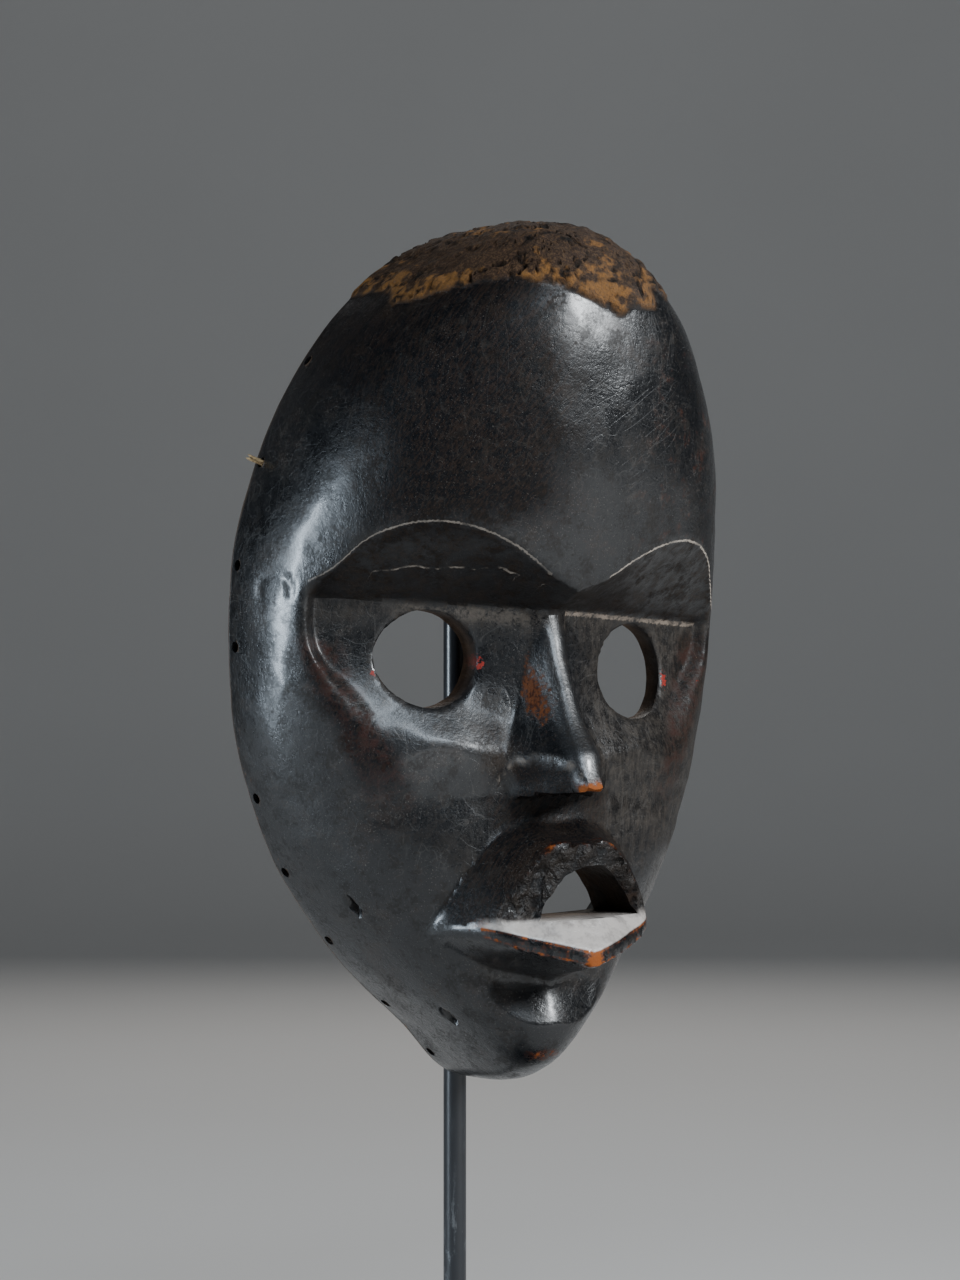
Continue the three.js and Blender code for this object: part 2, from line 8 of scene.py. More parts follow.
import bpy
import numpy as np
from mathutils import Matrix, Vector


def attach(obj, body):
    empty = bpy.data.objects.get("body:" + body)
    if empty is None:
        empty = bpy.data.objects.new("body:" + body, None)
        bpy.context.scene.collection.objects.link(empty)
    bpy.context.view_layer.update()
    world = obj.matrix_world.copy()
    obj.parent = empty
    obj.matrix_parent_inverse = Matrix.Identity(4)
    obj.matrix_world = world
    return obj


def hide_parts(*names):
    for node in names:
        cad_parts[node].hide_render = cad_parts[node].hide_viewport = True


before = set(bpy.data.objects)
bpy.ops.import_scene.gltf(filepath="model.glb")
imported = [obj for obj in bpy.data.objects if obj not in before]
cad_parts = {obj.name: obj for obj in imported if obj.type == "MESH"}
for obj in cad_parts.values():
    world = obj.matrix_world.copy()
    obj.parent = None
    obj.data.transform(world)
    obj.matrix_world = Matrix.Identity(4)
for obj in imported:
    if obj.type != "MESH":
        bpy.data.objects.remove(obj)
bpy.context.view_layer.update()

LOG = logging.getLogger("mask")
MM = 0.001
FAR = 1000
ON_RIM = 0.9999
NOISE_SHIFT = 17.31
NOISE_PRIMES = np.array([73856093, 19349663, 83492791])
NOISE_SEED = 2654435761
NOISE_MIX = 1274126177

Array = np.ndarray
Pair = tuple[float, float]
Triple = tuple[float, float, float]
Surface = Callable[[Array, Array], tuple[Array, Array, Array, Array]]
Relief = Callable[[Array], Array]


# Small mathematics


def smooth(start: float | Array, end: float | Array, value: float | Array) -> Array:
    """A soft step from 0 at start to 1 at end; start may be the larger."""
    share = np.clip((value - start) / (end - start), 0, 1)
    return share * share * (3 - 2 * share)


def soft_min(a: Array, b: Array, width: float) -> Array:
    """The smaller of two values, with the change-over rounded."""
    share = np.clip(0.5 + 0.5 * (b - a) / width, 0, 1)
    return b * (1 - share) + a * share - width * share * (1 - share)


def soft_max(a: Array, b: Array, width: float) -> Array:
    """The larger of two values, with the change-over rounded."""
    return -soft_min(-a, -b, width)


def mix(a: Array, b: Array, share: Array) -> Array:
    """A value between a and b."""
    return a + (b - a) * share


def grain(points: Array, size: float | Triple, seed: int) -> Array:
    """Smooth lattice noise between about -1 and 1.

    Args:
        points: places in millimetres, one row each.
        size: the noise's feature size in millimetres, or one for each axis.
        seed: tells one pattern from another.

    Returns:
        One value for each place.
    """
    at = points / np.array(size) + seed * NOISE_SHIFT
    cell = np.floor(at).astype(np.int64)
    part = at - cell
    ease = part * part * (3 - 2 * part)
    total = np.zeros(len(points))
    for corner in range(8):
        step = np.array([corner & 1, (corner >> 1) & 1, corner >> 2])
        key = (cell + step) @ NOISE_PRIMES + seed * NOISE_SEED
        key = (key ^ (key >> 13)) * NOISE_MIX & 0xFFFFFFFF
        value = ((key ^ (key >> 16)) & 0xFFFF) / 32767.5 - 1
        weight = np.prod(np.where(step, ease, 1 - ease), axis=1)
        total += weight * value
    return total


@dataclass(frozen=True)
class Curve:
    """A smooth curve through a few (place, value) points, level past its ends."""

    points: tuple[Pair, ...]

    def __call__(self, place: Array) -> Array:
        """The curve's value.

        Args:
            place: where along the curve, one value or many.

        Returns:
            The value at each place.
        """
        x, y = np.array(self.points, float).T
        slope = np.gradient(y, x)
        i = np.clip(np.searchsorted(x, place) - 1, 0, len(x) - 2)
        step = x[i + 1] - x[i]
        s = np.clip((place - x[i]) / step, 0, 1)
        s2, s3 = s * s, s * s * s
        ends = (2 * s3 - 3 * s2 + 1) * y[i] + (3 * s2 - 2 * s3) * y[i + 1]
        return ends + ((s3 - 2 * s2 + s) * slope[i] + (s3 - s2) * slope[i + 1]) * step


@dataclass(frozen=True)
class Spot:
    """A soft oval mark: 1 at its middle, 0 past about one and a half of its sizes."""

    middle: Pair
    size: Pair
    softness: float = 1.4

    def __call__(self, x: Array, z: Array) -> Array:
        """The mark's share at each place."""
        reach = ((x - self.middle[0]) / self.size[0]) ** 2 + ((z - self.middle[1]) / self.size[1]) ** 2
        return np.exp(-reach * self.softness)


# The carving, in its own millimetres: x to the viewer's right, f forward of the rim, z up from the chin


@dataclass(frozen=True)
class Dome:
    """The plain domed body that the face is carved into."""

    height: float = 234
    width: float = 146
    widest: float = 124
    bluntness: float = 2.2
    crown_roundness: float = 0.59
    jaw_roundness: float = 2.45
    chin_width: float = 0.5
    chin_blend: float = 0.06
    chin_ease: float = 0.02
    top_lean: float = 1.6
    lean_heights: Pair = (130, 225)
    crown_fullness: float = 0.36
    chin_fullness: float = 0.52
    depth: Curve = Curve(((0, 77), (0.03, 77), (0.085, 71.5), (0.15, 61.8), (0.25, 56), (0.37, 52.2),
                          (0.45, 55.2), (0.53, 60.5), (0.62, 67), (0.72, 74), (0.82, 79.5), (0.92, 86),
                          (1, 92)))
    squareness: Curve = Curve(((0, 2.6), (0.1, 2.3), (0.2, 2.1), (0.45, 2), (0.62, 2.05), (0.72, 2.3),
                               (0.82, 2.6), (0.9, 3), (1, 3)))

    def lean(self, z: Array) -> Array:
        """How far the crown leans to the viewer's right at a height."""
        return self.top_lean * smooth(*self.lean_heights, z)

    def outline(self, w: Array, inset: float = 0) -> tuple[Array, Array, Array, Array]:
        """The rim's outline.

        Args:
            w: place along the outline, from -1 at the chin to 1 at the top.
            inset: how far inside the outline.

        Returns:
            Half width, height, and the cosine and sine that both come from.
        """
        c = np.cos(np.pi * w / 2).clip(0) ** self.bluntness
        s = np.sign(w) * np.sqrt(1 - c * c)
        left = np.clip(1 - s * s, 0, 1)
        chin = self.chin_width * np.sqrt(left)
        jaw = soft_max(1 - np.abs(s) ** self.jaw_roundness, chin, self.chin_blend)
        share = np.where(s > 0, left ** self.crown_roundness, jaw * smooth(0, self.chin_ease, c))
        reach = np.where(s > 0, self.height - self.widest, self.widest)
        return (self.width / 2 - inset) * share, self.widest + (reach - inset) * s, c, s

    def point(self, w: Array, phi: Array, inset: float = 0) -> tuple[Array, Array, Array]:
        """A point of the dome.

        Args:
            w: place along the outline, from -1 at the chin to 1 at the top.
            phi: place across the dome, from -1 to 1.
            inset: how far inside the dome.

        Returns:
            Its x, f and z.
        """
        half, z, c, s = self.outline(w, inset)
        t = z / self.height
        depth = (self.depth(t) - inset) * c ** np.where(s > 0, self.crown_fullness, self.chin_fullness)
        power = 2 / self.squareness(t)
        angle = np.pi / 2 * phi
        across = np.sign(phi) * np.abs(np.sin(angle)) ** power
        f = np.where(np.abs(phi) > ON_RIM, 0, depth * np.cos(angle).clip(0) ** power)
        return half * across + self.lean(z), f, z


@dataclass(frozen=True)
class Face:
    """The face plane sunk below the brows, between the two temple ridges."""

    crease: float = 129
    eye_tilt: float = 0.055
    tilt_heights: Pair = (70, 105)
    middle_round: float = 4
    fall_shares: Pair = (0.45, 1.05)
    soft_heights: Pair = (120, 102)
    edge_outer: Pair = (3, 2)
    edge_inner: Pair = (3.5, 6.5)
    brow_edge: Pair = (0.5, 0.7)
    brow_power: float = 0.85
    cheek_heights: Pair = (88, 62)
    cheek_shares: Pair = (0.45, 0.85)
    chin_heights: Pair = (3, 22)
    ridge: Curve = Curve(((0, 14), (20, 24), (45, 35), (62, 41), (78, 46), (89, 50), (100, 54.5), (108, 58.5),
                          (121, 62.5), (132, 63), (145, 60), (160, 56)))
    middle: Curve = Curve(((0, 54), (9, 54), (20, 51), (28, 49), (38, 50), (60, 51.5), (70, 53), (78, 54),
                           (84, 53.6), (92, 51.2), (100, 49), (108, 48), (118, 48.5), (130, 49.5), (150, 54)))
    slope: Curve = Curve(((0, 0.35), (20, 0.3), (40, 0.26), (60, 0.16), (80, 0.13), (92, 0.15), (102, 0.27),
                          (115, 0.38), (130, 0.4)))
    fall: Curve = Curve(((0, 10), (40, 11), (70, 12), (90, 11), (100, 5), (112, 1), (125, 0.5)))
    brow: Curve = Curve(((0, 134), (7.5, 137.2), (18, 143.8), (30, 148.8), (40, 150), (48, 148.3),
                         (54, 144.5), (60, 136.5), (66, 131.5)))

    def level(self, x: Array, z: Array) -> Array:
        """Height measured along the slightly tilted eye line."""
        return z + self.eye_tilt * x * smooth(*self.tilt_heights, z)

    def depth(self, x: Array, z: Array) -> Array:
        """How far forward the face plane lies.

        Args:
            x, z: places on it.

        Returns:
            The f of each place.
        """
        side = np.sqrt(x * x + self.middle_round ** 2) - self.middle_round
        fall = self.fall(z) * smooth(*self.fall_shares, side / self.ridge(z))
        return self.middle(z) - self.slope(z) * side - fall

    def carve(self, x: Array, f: Array, z: Array) -> Array:
        """Sinks the dome to the face plane and cuts the slope under the brows.

        Args:
            x, f, z: places on the dome.

        Returns:
            The new f of each place.
        """
        side = np.abs(x)
        edge = self.ridge(z)
        level = self.level(x, z)
        brow = self.brow(side)
        soft = smooth(*self.soft_heights, z)
        outer = edge + self.edge_outer[0] + self.edge_outer[1] * soft
        inner = edge - self.edge_inner[0] - self.edge_inner[1] * soft
        below = smooth(brow + self.brow_edge[0], brow - self.brow_edge[1], level)
        cheek = 1 - smooth(*self.cheek_heights, z) * smooth(*self.cheek_shares, side / edge)
        flat = self.depth(x, level)
        rise = np.clip((level - self.crease) / np.maximum(brow - self.crease, 3), 0, 1.2)
        wanted = np.where(level > self.crease, mix(flat, f, rise ** self.brow_power), flat)
        share = smooth(outer, inner, side) * below * smooth(*self.chin_heights, z) * cheek
        return mix(f, np.minimum(wanted, f), share)


@dataclass(frozen=True)
class Nose:
    """A straight nose with a narrow rounded ridge and scooped wings."""

    foot: float = 81.2
    foot_slope: float = 0.2
    foot_edge: Pair = (0.6, 0.5)
    top_heights: Pair = (133, 121)
    crest: Curve = Curve(((0, 50.5), (0.15, 51.8), (0.4, 56.5), (0.65, 63), (0.85, 70.5), (1, 76)))
    half_width: Curve = Curve(((0, 5), (0.3, 6.5), (0.6, 10.5), (0.85, 15.5), (1, 18)))
    ridge: Curve = Curve(((0, 2.8), (0.4, 3), (0.7, 3.8), (0.9, 4.8), (1, 5.4)))
    flatness: float = 3
    bluntest: float = 0.6
    side_blend: float = 0.07
    wing_middle: float = 9.5
    wing_reach: float = 7.5
    wing_rise: float = 8
    wing_step: float = 1.2
    wing_edge: float = 1.5
    wing_hollow: float = 6
    scoop_sides: Pair = (1.5, 4.5)
    deepest_scoop: float = -0.4

    def wing(self, side: Array) -> tuple[Array, Array]:
        """The arc over a wing: how near each place is to its middle, and the arc's height."""
        arc = np.clip(1 - ((side - self.wing_middle) / self.wing_reach) ** 2, 0, 1)
        return arc, self.foot + self.wing_rise * np.sqrt(arc)

    def carve(self, x: Array, f: Array, z: Array, face: Face) -> Array:
        """Adds the nose to the face.

        Args:
            x, f, z: places on the carved dome.
            face: the plane that the nose stands on.

        Returns:
            The new f of each place.
        """
        side = np.abs(x)
        down = np.clip((face.crease - z) / (face.crease - self.foot), 0, 1)
        half = self.half_width(down)
        blunt = np.clip(self.ridge(down) / half, 0, self.bluntest)
        r = side / half
        lost = blunt * (1 - 1 / self.flatness)
        rounded = 1 - lost - blunt / self.flatness * (r / blunt) ** self.flatness
        section = np.where(r < blunt, rounded, 1 - r) / (1 - lost)
        height = (self.crest(down) - face.depth(0 * x, z)) * soft_max(section, 0 * x, self.side_blend)
        below = self.wing(side)[1] - z
        step, hollow = smooth(0, self.wing_edge, below), smooth(0, self.wing_rise, below)
        scoop = (self.wing_step * step + self.wing_hollow * hollow) * smooth(*self.scoop_sides, side)
        foot = self.foot - self.foot_slope * side
        ends = smooth(foot - self.foot_edge[0], foot + self.foot_edge[1], z) * smooth(*self.top_heights, z)
        return f + np.maximum(height - scoop, self.deepest_scoop) * ends


@dataclass(frozen=True)
class Lips:
    """The pouting wedge of the mouth."""

    tilt: float = 0.03
    corner: float = 29
    end: float = 33
    dish: float = 5
    dish_sides: Pair = (25, 12)
    under_power: float = 0.6
    top: Curve = Curve(((0, 73), (12, 72.5), (24, 61), (31, 49.5), (38, 46)))
    edge: Curve = Curve(((0, 66.6), (9.7, 66.2), (18, 56.5), (26.5, 47), (36, 46), (46, 45)))
    front: Curve = Curve(((0, 67), (9.7, 66), (18, 62.5), (25, 56.5), (30, 46), (34, 38)))
    lower: Curve = Curve(((0, 38.6), (9, 41), (18, 43.5), (26.5, 45.8), (36, 45.8), (46, 45)))
    lower_front: Curve = Curve(((0, 72), (3, 71.5), (14, 66), (25, 57), (30, 46), (34, 38)))
    band: Curve = Curve(((0, 3.8), (20, 3.2), (27, 2), (36, 1.6)))
    plane: Curve = Curve(((0, 2), (9, 1.8), (16, 1), (40, 1)))
    underside: Curve = Curve(((0, 6), (25, 6), (36, 4)))

    def level(self, x: Array, z: Array) -> Array:
        """Height measured along the tilted mouth."""
        return z - self.tilt * x

    def carve(self, x: Array, f: Array, z: Array) -> Array:
        """Adds the lips to the face.

        Args:
            x, f, z: places on the carved dome.

        Returns:
            The new f of each place.
        """
        side = np.abs(x)
        level = self.level(x, z)
        top, edge, front = self.top(side), self.edge(side), self.front(side)
        low, low_front = self.lower(side), self.lower_front(side)
        foot = low - self.band(side)
        share = np.clip((top - level) / np.maximum(top - edge, 1), 0, 1)
        upper = np.maximum(f, mix(f, front, share ** self.plane(side)))
        down = np.clip((edge - level) / np.maximum(edge - low, 1), 0, 1)
        dish = self.dish * np.sin(np.pi * down) * smooth(*self.dish_sides, side)
        shelf = mix(front, low_front, down) - dish
        under = np.clip((foot - level) / self.underside(side), 0, 1)
        below = np.maximum(f, mix(low_front, f, smooth(0, 1, under) ** self.under_power))
        band = np.maximum(f, low_front)
        wanted = np.select((level > edge, level > low, level > foot), (upper, shelf, band), below)
        return np.where(side < self.end, mix(f, wanted, smooth(self.end, self.corner, side)), f)


@dataclass(frozen=True)
class Opening:
    """An eye hole: its middle and the radius of its rounded edge."""

    x: float
    z: float
    radius: float
    lip: float = 1.1

    def away(self, x: Array, z: Array) -> Array:
        """Distance outside the hole's edge, negative inside it."""
        return np.hypot(x - self.x, z - self.z) - self.radius

    def roll(self, x: Array, z: Array) -> Array:
        """How deep the surface has rolled in beside the hole."""
        inward = np.clip(1 - self.away(x, z) / self.lip, 0, 1)
        return self.lip * (1 - np.sqrt(np.clip(1 - inward * inward, 0, 1)))


@dataclass(frozen=True)
class Mouth:
    """The opening between the lips: a flat floor under a low arch."""

    x: float = 3.75
    floor: float = 47
    height: float = 14
    half_width: float = 16.25
    power: float = 2.2

    def outline(self, steps: int) -> Array:
        """Points round the opening.

        Args:
            steps: how many points.

        Returns:
            The x and level of each point, from the left end over the arch.
        """
        turn = np.linspace(0, np.pi, steps)
        across = -np.cos(turn)
        arch = self.floor + self.height * (1 - np.abs(across) ** self.power).clip(0)
        return np.column_stack((self.x + self.half_width * across, arch))


@dataclass
class Carving:
    """The whole carved front, and the hollow behind it."""

    dome: Dome = field(default_factory=Dome)
    face: Face = field(default_factory=Face)
    nose: Nose = field(default_factory=Nose)
    lips: Lips = field(default_factory=Lips)
    mouth: Mouth = field(default_factory=Mouth)
    eye_x: float = 32
    eye_z: float = 114.2
    eye_radius: float = 13
    side_wall: float = 7
    face_wall: float = 7.5
    hollow_rise: Pair = (128, 158)
    hollow_softness: float = 5
    rim_round: float = 1.6

    def eyes(self) -> list[Opening]:
        """The two eye holes, tilted with the eye line.

        Returns:
            The near hole and the far one.
        """
        tilt = self.face.eye_tilt
        return [Opening(side * self.eye_x, self.eye_z - tilt * side * self.eye_x, self.eye_radius)
                for side in (-1, 1)]

    def front(self, w: Array, phi: Array) -> tuple[Array, Array, Array, Array]:
        """The carved front.

        Args:
            w: place along the mask, from -1 at the chin to 1 at the top.
            phi: place across it, from -1 to 1.

        Returns:
            Each place's x, f and z, and how much was carved off or added there.
        """
        x, f, z = self.dome.point(w, phi)
        carved = self.lips.carve(x, self.nose.carve(x, self.face.carve(x, f, z), z, self.face), z)
        for eye in self.eyes():
            carved = carved - eye.roll(x, z)
        return x, carved, z, carved - f

    def hollow(self, w: Array, phi: Array) -> tuple[Array, Array, Array, Array]:
        """The hollow's surface, a wall's thickness behind the front.

        Args:
            w: place along the mask, from -1 at the chin to 1 at the top.
            phi: place across it, from -1 to 1.

        Returns:
            Each place's x, f and z, and zeros, because nothing is carved on it.
        """
        x, f, z = self.dome.point(w, phi, self.side_wall)
        behind = self.face.depth(x, z) - self.face_wall
        room = np.maximum(f, behind) + self.hollow_softness
        level = mix(behind, room, smooth(*self.hollow_rise, z))
        depth = soft_min(f, level, self.hollow_softness).clip(0)
        edge = (np.abs(phi) > ON_RIM) | (np.abs(w) > ON_RIM)
        return x, np.where(edge, 0, depth), z, 0 * x


# Weathering: relief in millimetres along the surface, and marks for the finish, painted shade and light among
# them


def window(value: Array, rise: Pair, fall: Pair) -> Array:
    """1 between a soft rise and a soft fall, 0 outside them."""
    return smooth(*rise, value) * smooth(*fall, value)


@dataclass(frozen=True)
class Grain:
    """Lattice noise of a height, a feature size in millimetres and a seed."""

    height: float
    size: float | Triple
    seed: int

    def __call__(self, points: Array) -> Array:
        """The noise at each point."""
        return self.height * grain(points, self.size, self.seed)


@dataclass(frozen=True)
class Pit:
    """A ragged worm hole on the side of the jaw: its place, slant, height over width, and edge."""

    z: float
    f: float
    slant: float
    height: float
    edge: Pair

    def __call__(self, f: Array, z: Array, ragged: Array) -> Array:
        """The hole's share at each place."""
        up = (z - self.z + self.slant * (f - self.f)) / self.height
        return smooth(*self.edge, np.hypot(up, f - self.f) + ragged)


class Places:
    """Points of the carving, and the measures that its marks are placed by."""

    def __init__(self, points: Array, carving: Carving) -> None:
        """Measures the points.

        Args:
            points: places in carving millimetres, one row each.
            carving: the shapes that they lie on.
        """
        self.points = points
        self.x, self.f, self.z = points.T
        self.side = np.abs(self.x)
        self.level = carving.face.level(self.x, self.z)
        self.over_crease = self.level - carving.face.crease
        self.over_brow = self.level - carving.face.brow(self.side)
        self.lip_level = carving.lips.level(self.x, self.z)
        self.lip_edge = carving.lips.edge(self.side)
        self.over_lip = self.lip_level - carving.lips.lower(self.side)


@dataclass(frozen=True)
class Weathering:
    """Wear, crust and damage of the carved surface, as the mask shows them, and where the finish paints shade
    and light.
    """

    carving: Carving
    hand: tuple[Grain, ...] = (Grain(0.3, 17, 1), Grain(0.13, 7, 2), Grain(0.05, 3, 5))
    crust_edge: float = 213
    crust_slope: float = 0.05
    crust_height: float = 0.8
    crust_wander: tuple[Grain, ...] = (Grain(5.5, 17, 3), Grain(2.2, 4.5, 4))
    crust_lumps: tuple[Grain, ...] = (Grain(0.6, 2.4, 6), Grain(0.5, 8, 7))
    wide_cracks: tuple[Grain, ...] = (Grain(1, (13, 13, 5), 11), Grain(0.25, 2.5, 12))
    fine_cracks: tuple[Grain, ...] = (Grain(1, (6, 6, 3), 13), Grain(0.25, 1.6, 14))
    broken_wood: tuple[Grain, ...] = (Grain(1, 2.6, 8), Grain(0.5, 1.3, 9))
    broken_depth: float = 0.6
    pit_wander: Grain = Grain(0.7, 2, 15)
    pit_depth: float = 2.4
    jaw_pits: tuple[Pit, Pit] = (Pit(49.9, 23.6, 0.3, 1.7, (1.9, 0.7)), Pit(19.3, 30.9, 0.4, 1.4, (1.7, 0.6)))
    scar_middle: Pair = (134.2, 20)
    scar_size: Pair = (4.4, 5.4)
    scar_depth: float = 0.3
    adze: tuple[Grain, ...] = (Grain(0.45, (7, 9, 15), 21), Grain(0.15, 3.5, 22))
    adze_depth: float = 0.2
    lip_tip: Spot = Spot((0, 36.5), (3.4, 2.3))
    lip_corner: Spot = Spot((26.5, 46), (3.6, 2.2))
    upper_lip: tuple[Spot, Spot] = (Spot((-8.5, 66), (3, 3)), Spot((10, 66), (3, 3)))
    chin: Spot = Spot((-1, 9.5), (5, 2.6))
    near_reds: tuple[Spot, Spot] = (Spot((-18.4, 115), (1.5, 3)), Spot((-45.8, 113), (1.2, 2)))
    far_reds: tuple[Spot, Spot] = (Spot((46.4, 110), (1.4, 2.6)), Spot((58, 112), (2, 5)))
    nose_rub: Spot = Spot((-6.2, 106), (2.4, 9.5))
    cheek: Spot = Spot((-36, 94), (18, 14))
    beside_nose: Spot = Spot((-17, 94), (5, 14))
    dusty_wing: Spot = Spot((17, 88), (6, 5))
    dusty_cheek: Spot = Spot((-24, 62), (5, 9))

    def crust(self, points: Array) -> Array:
        """Share of caked crust over the crown.

        Args:
            points: places in carving millimetres, one row each.

        Returns:
            One share for each place.
        """
        x, z = points[:, 0], points[:, 2]
        ragged = self.crust_wander[0](points) + self.crust_wander[1](points) + self.crust_slope * x
        return smooth(-1.2, 1.2, z + ragged - self.crust_edge)

    def cracks(self, points: Array) -> Array:
        """Thin wandering cracks, 1 in their middle.

        Args:
            points: places in carving millimetres, one row each.

        Returns:
            One share for each place.
        """
        wide, fine = (np.abs(sum(part(points) for part in parts))
                      for parts in (self.wide_cracks, self.fine_cracks))
        return np.maximum(smooth(0.075, 0.015, wide), 0.7 * smooth(0.06, 0.01, fine))

    def chipped_lip(self, points: Array) -> Array:
        """Share of broken wood on the upper lip's front.

        Args:
            points: places in carving millimetres, one row each.

        Returns:
            One share for each place.
        """
        x, z = points[:, 0], points[:, 2]
        side = np.abs(x)
        level = self.carving.lips.level(x, z)
        edge = self.carving.lips.edge(side)
        band = smooth(edge + 0.6, edge - 0.8, level) * smooth(46.2, 48.2, level)
        return band * smooth(27.5, 25, side) * smooth(45, 50, points[:, 1])

    def pits(self, points: Array) -> Array:
        """Two ragged worm holes in the near side of the jaw.

        Args:
            points: places in carving millimetres, one row each.

        Returns:
            One share for each place.
        """
        ragged = self.pit_wander(points)
        upper, lower = (pit(points[:, 1], points[:, 2], ragged) for pit in self.jaw_pits)
        return (upper + lower) * smooth(-10, -14, points[:, 0])

    def scar(self, points: Array) -> Array:
        """A horseshoe knock on the near temple.

        Args:
            points: places in carving millimetres, one row each.

        Returns:
            One share for each place.
        """
        x, f, z = points.T
        up = (z - self.scar_middle[0]) / self.scar_size[0]
        forward = (f - self.scar_middle[1]) / self.scar_size[1]
        ring = np.abs(np.hypot(up, forward) - 1)
        return smooth(0.36, 0.08, ring) * smooth(-60, -66, x) * smooth(130.8, 132.4, z)

    def tool_marks(self, points: Array) -> Array:
        """Shallow adze marks all over the hollow."""
        return self.adze[0](points) + self.adze[1](points) - self.adze_depth

    def relief(self, points: Array) -> Array:
        """Relief of the whole front.

        Args:
            points: places in carving millimetres, one row each.

        Returns:
            The rise at each place, in millimetres along the surface.
        """
        hand = sum(part(points) for part in self.hand)
        lumps = self.crust_height * (1 + self.crust_lumps[0](points) + self.crust_lumps[1](points))
        cake = self.crust(points) * (lumps - self.cracks(points))
        broken = self.broken_wood[0](points) + self.broken_wood[1](points) - self.broken_depth
        knocks = self.pit_depth * self.pits(points) + self.scar_depth * self.scar(points)
        return hand + cake + self.chipped_lip(points) * broken - knocks

    def marks(self, points: Array) -> dict[str, Array]:
        """Marks for the finish.

        Args:
            points: places in carving millimetres, one row each.

        Returns:
            Named shares, and signed distances for lines, with one value for each place.
        """
        at = Places(points, self.carving)
        x, f, z, side = at.x, at.f, at.z, at.side
        brow_shade = self.brow_shade(at)
        return {
            "crust": self.crust(points),
            "crust_depth": z + self.crust_slope * x - self.crust_edge,
            "cracks": self.cracks(points),
            "chips": self.chipped_lip(points),
            "worn": self.worn(at),
            "red": self.red(at),
            "rub": self.nose_rub(x, z) * smooth(44, 48, f),
            "dust": self.dust(at),
            # Painted light on a band under the near crease, and pale dust along the arc over the near wing.
            "dust_and_painted_light": self.dust_and_painted_light(at),
            "dull": self.dull_places(at),
            "sheen": np.clip(self.cheek(x, z) + self.ridge_sheen(at), 0, 1),
            "valley": self.valley(side, z),
            # The slopes under the brows, where the finish paints shade.
            "brow_shade": brow_shade,
            "brow_line": at.over_brow / 1.16 + FAR * (smooth(64, 66, side) + smooth(8.5, 6.5, side)),
            "crease_line": at.over_crease + FAR * (smooth(60, 62, side) + smooth(4, 2, x)),
            "crack_line": self.brow_crack(x, z) + FAR * (1 - brow_shade),
            "bore": self.bores(at),
            # The lower lip's shelf: painted pale, partly worn wood and partly a painted highlight.
            "shelf": smooth(48, 46.6, at.lip_level) * smooth(50, 54, f) * smooth(27, 24, side),
            "lip_band": smooth(52, 56, f) * smooth(28, 24, side),
            "lip_line": at.over_lip,
            "lip_foot": at.over_lip + self.carving.lips.band(side),
            "rim_edge": smooth(5.5, 2, f) * smooth(150, 100, z),
            "far_side": smooth(-6, 12, x),
            "reddish": smooth(10, 26, x) * window(z, (136, 150), (212, 190)),
        }

    def worn(self, at: Places) -> Array:
        """Share of wood worn bare: nose tip, lips and chin.

        Args:
            at: the places.

        Returns:
            One share for each place.
        """
        nose_tip = smooth(66, 70, at.f) * window(at.z, (76, 79), (84.6, 82.2)) * smooth(-9, -6, at.x)
        tip = self.lip_tip(at.x, at.z) * smooth(62, 66, at.f)
        corner = self.lip_corner(at.side, at.z) * smooth(50, 54, at.f)
        edge = smooth(1.3, 0.3, np.abs(at.lip_level - at.lip_edge)) * smooth(58, 62, at.f)
        near, far = (spot(at.x, at.z) for spot in self.upper_lip)
        upper = edge * (0.35 + 0.65 * near + 0.5 * far)
        chin = self.chin(at.x, at.z) * smooth(38, 46, at.f)
        return np.clip(nose_tip + tip + 0.48 * corner + 0.6 * upper + 0.62 * chin, 0, 1)

    def red(self, at: Places) -> Array:
        """Share of the red paint left beside the eye holes."""
        near, far = ([spot(at.x, at.z) for spot in spots] for spots in (self.near_reds, self.far_reds))
        return np.clip(near[0] + 0.5 * near[1] + far[0] + 0.4 * far[1], 0, 1) * smooth(26, 32, at.f)

    def brow_shade(self, at: Places) -> Array:
        """Share of the slopes between the crease and the brows, where shade is painted."""
        return smooth(-0.3, 0.6, at.over_crease) * smooth(0.2, -0.6, at.over_brow) * smooth(65, 62, at.side)

    def brow_crack(self, x: Array, z: Array) -> Array:
        """Distance from the long drying crack under the near brow.

        Args:
            x, z: places on the face.

        Returns:
            The signed distance, and a large number past the crack's ends.
        """
        along = np.clip((x + 51) / 36, 0, 1)
        wander = 0.5 * np.sin(9 * along) + 0.35 * np.sin(23 * along + 1)
        off_ends = FAR * (smooth(-50, -52, x) + smooth(-15, -13, x))
        return z - (138.3 + 2.2 * np.sin(np.pi * along) + wander) + off_ends

    def dull_places(self, at: Places) -> Array:
        """Share of the places without polish.

        Args:
            at: the places.

        Returns:
            The two facets of the upper lip, the nose's wings and what lies beside and under them, the
            valleys, and the middle of the forehead.
        """
        top = self.carving.lips.top(at.side)
        facet = smooth(-0.5, 0.5, at.lip_level - at.lip_edge) * smooth(1.5, -0.5, at.lip_level - top)
        facet = facet * smooth(32, 29, at.side) * smooth(34, 38, at.f)
        valley = self.valley(at.side, at.lip_level)
        wing = window(at.lip_level, (79, 81), (90, 87)) * window(at.side, (2.5, 5), (19, 16))
        wing = wing * smooth(50, 53, at.f)
        beside = self.beside_nose(at.x, at.lip_level) * smooth(13, 16, at.side)
        under = window(at.lip_level, (69, 73), (81, 79.5)) * smooth(22, 15, at.side)
        forehead = window(at.x, (-60, -46), (2, -20)) * window(at.lip_level, (146, 160), (238, 226))
        return np.clip(facet + wing + 0.85 * valley + 0.8 * beside + forehead + under, 0, 1)

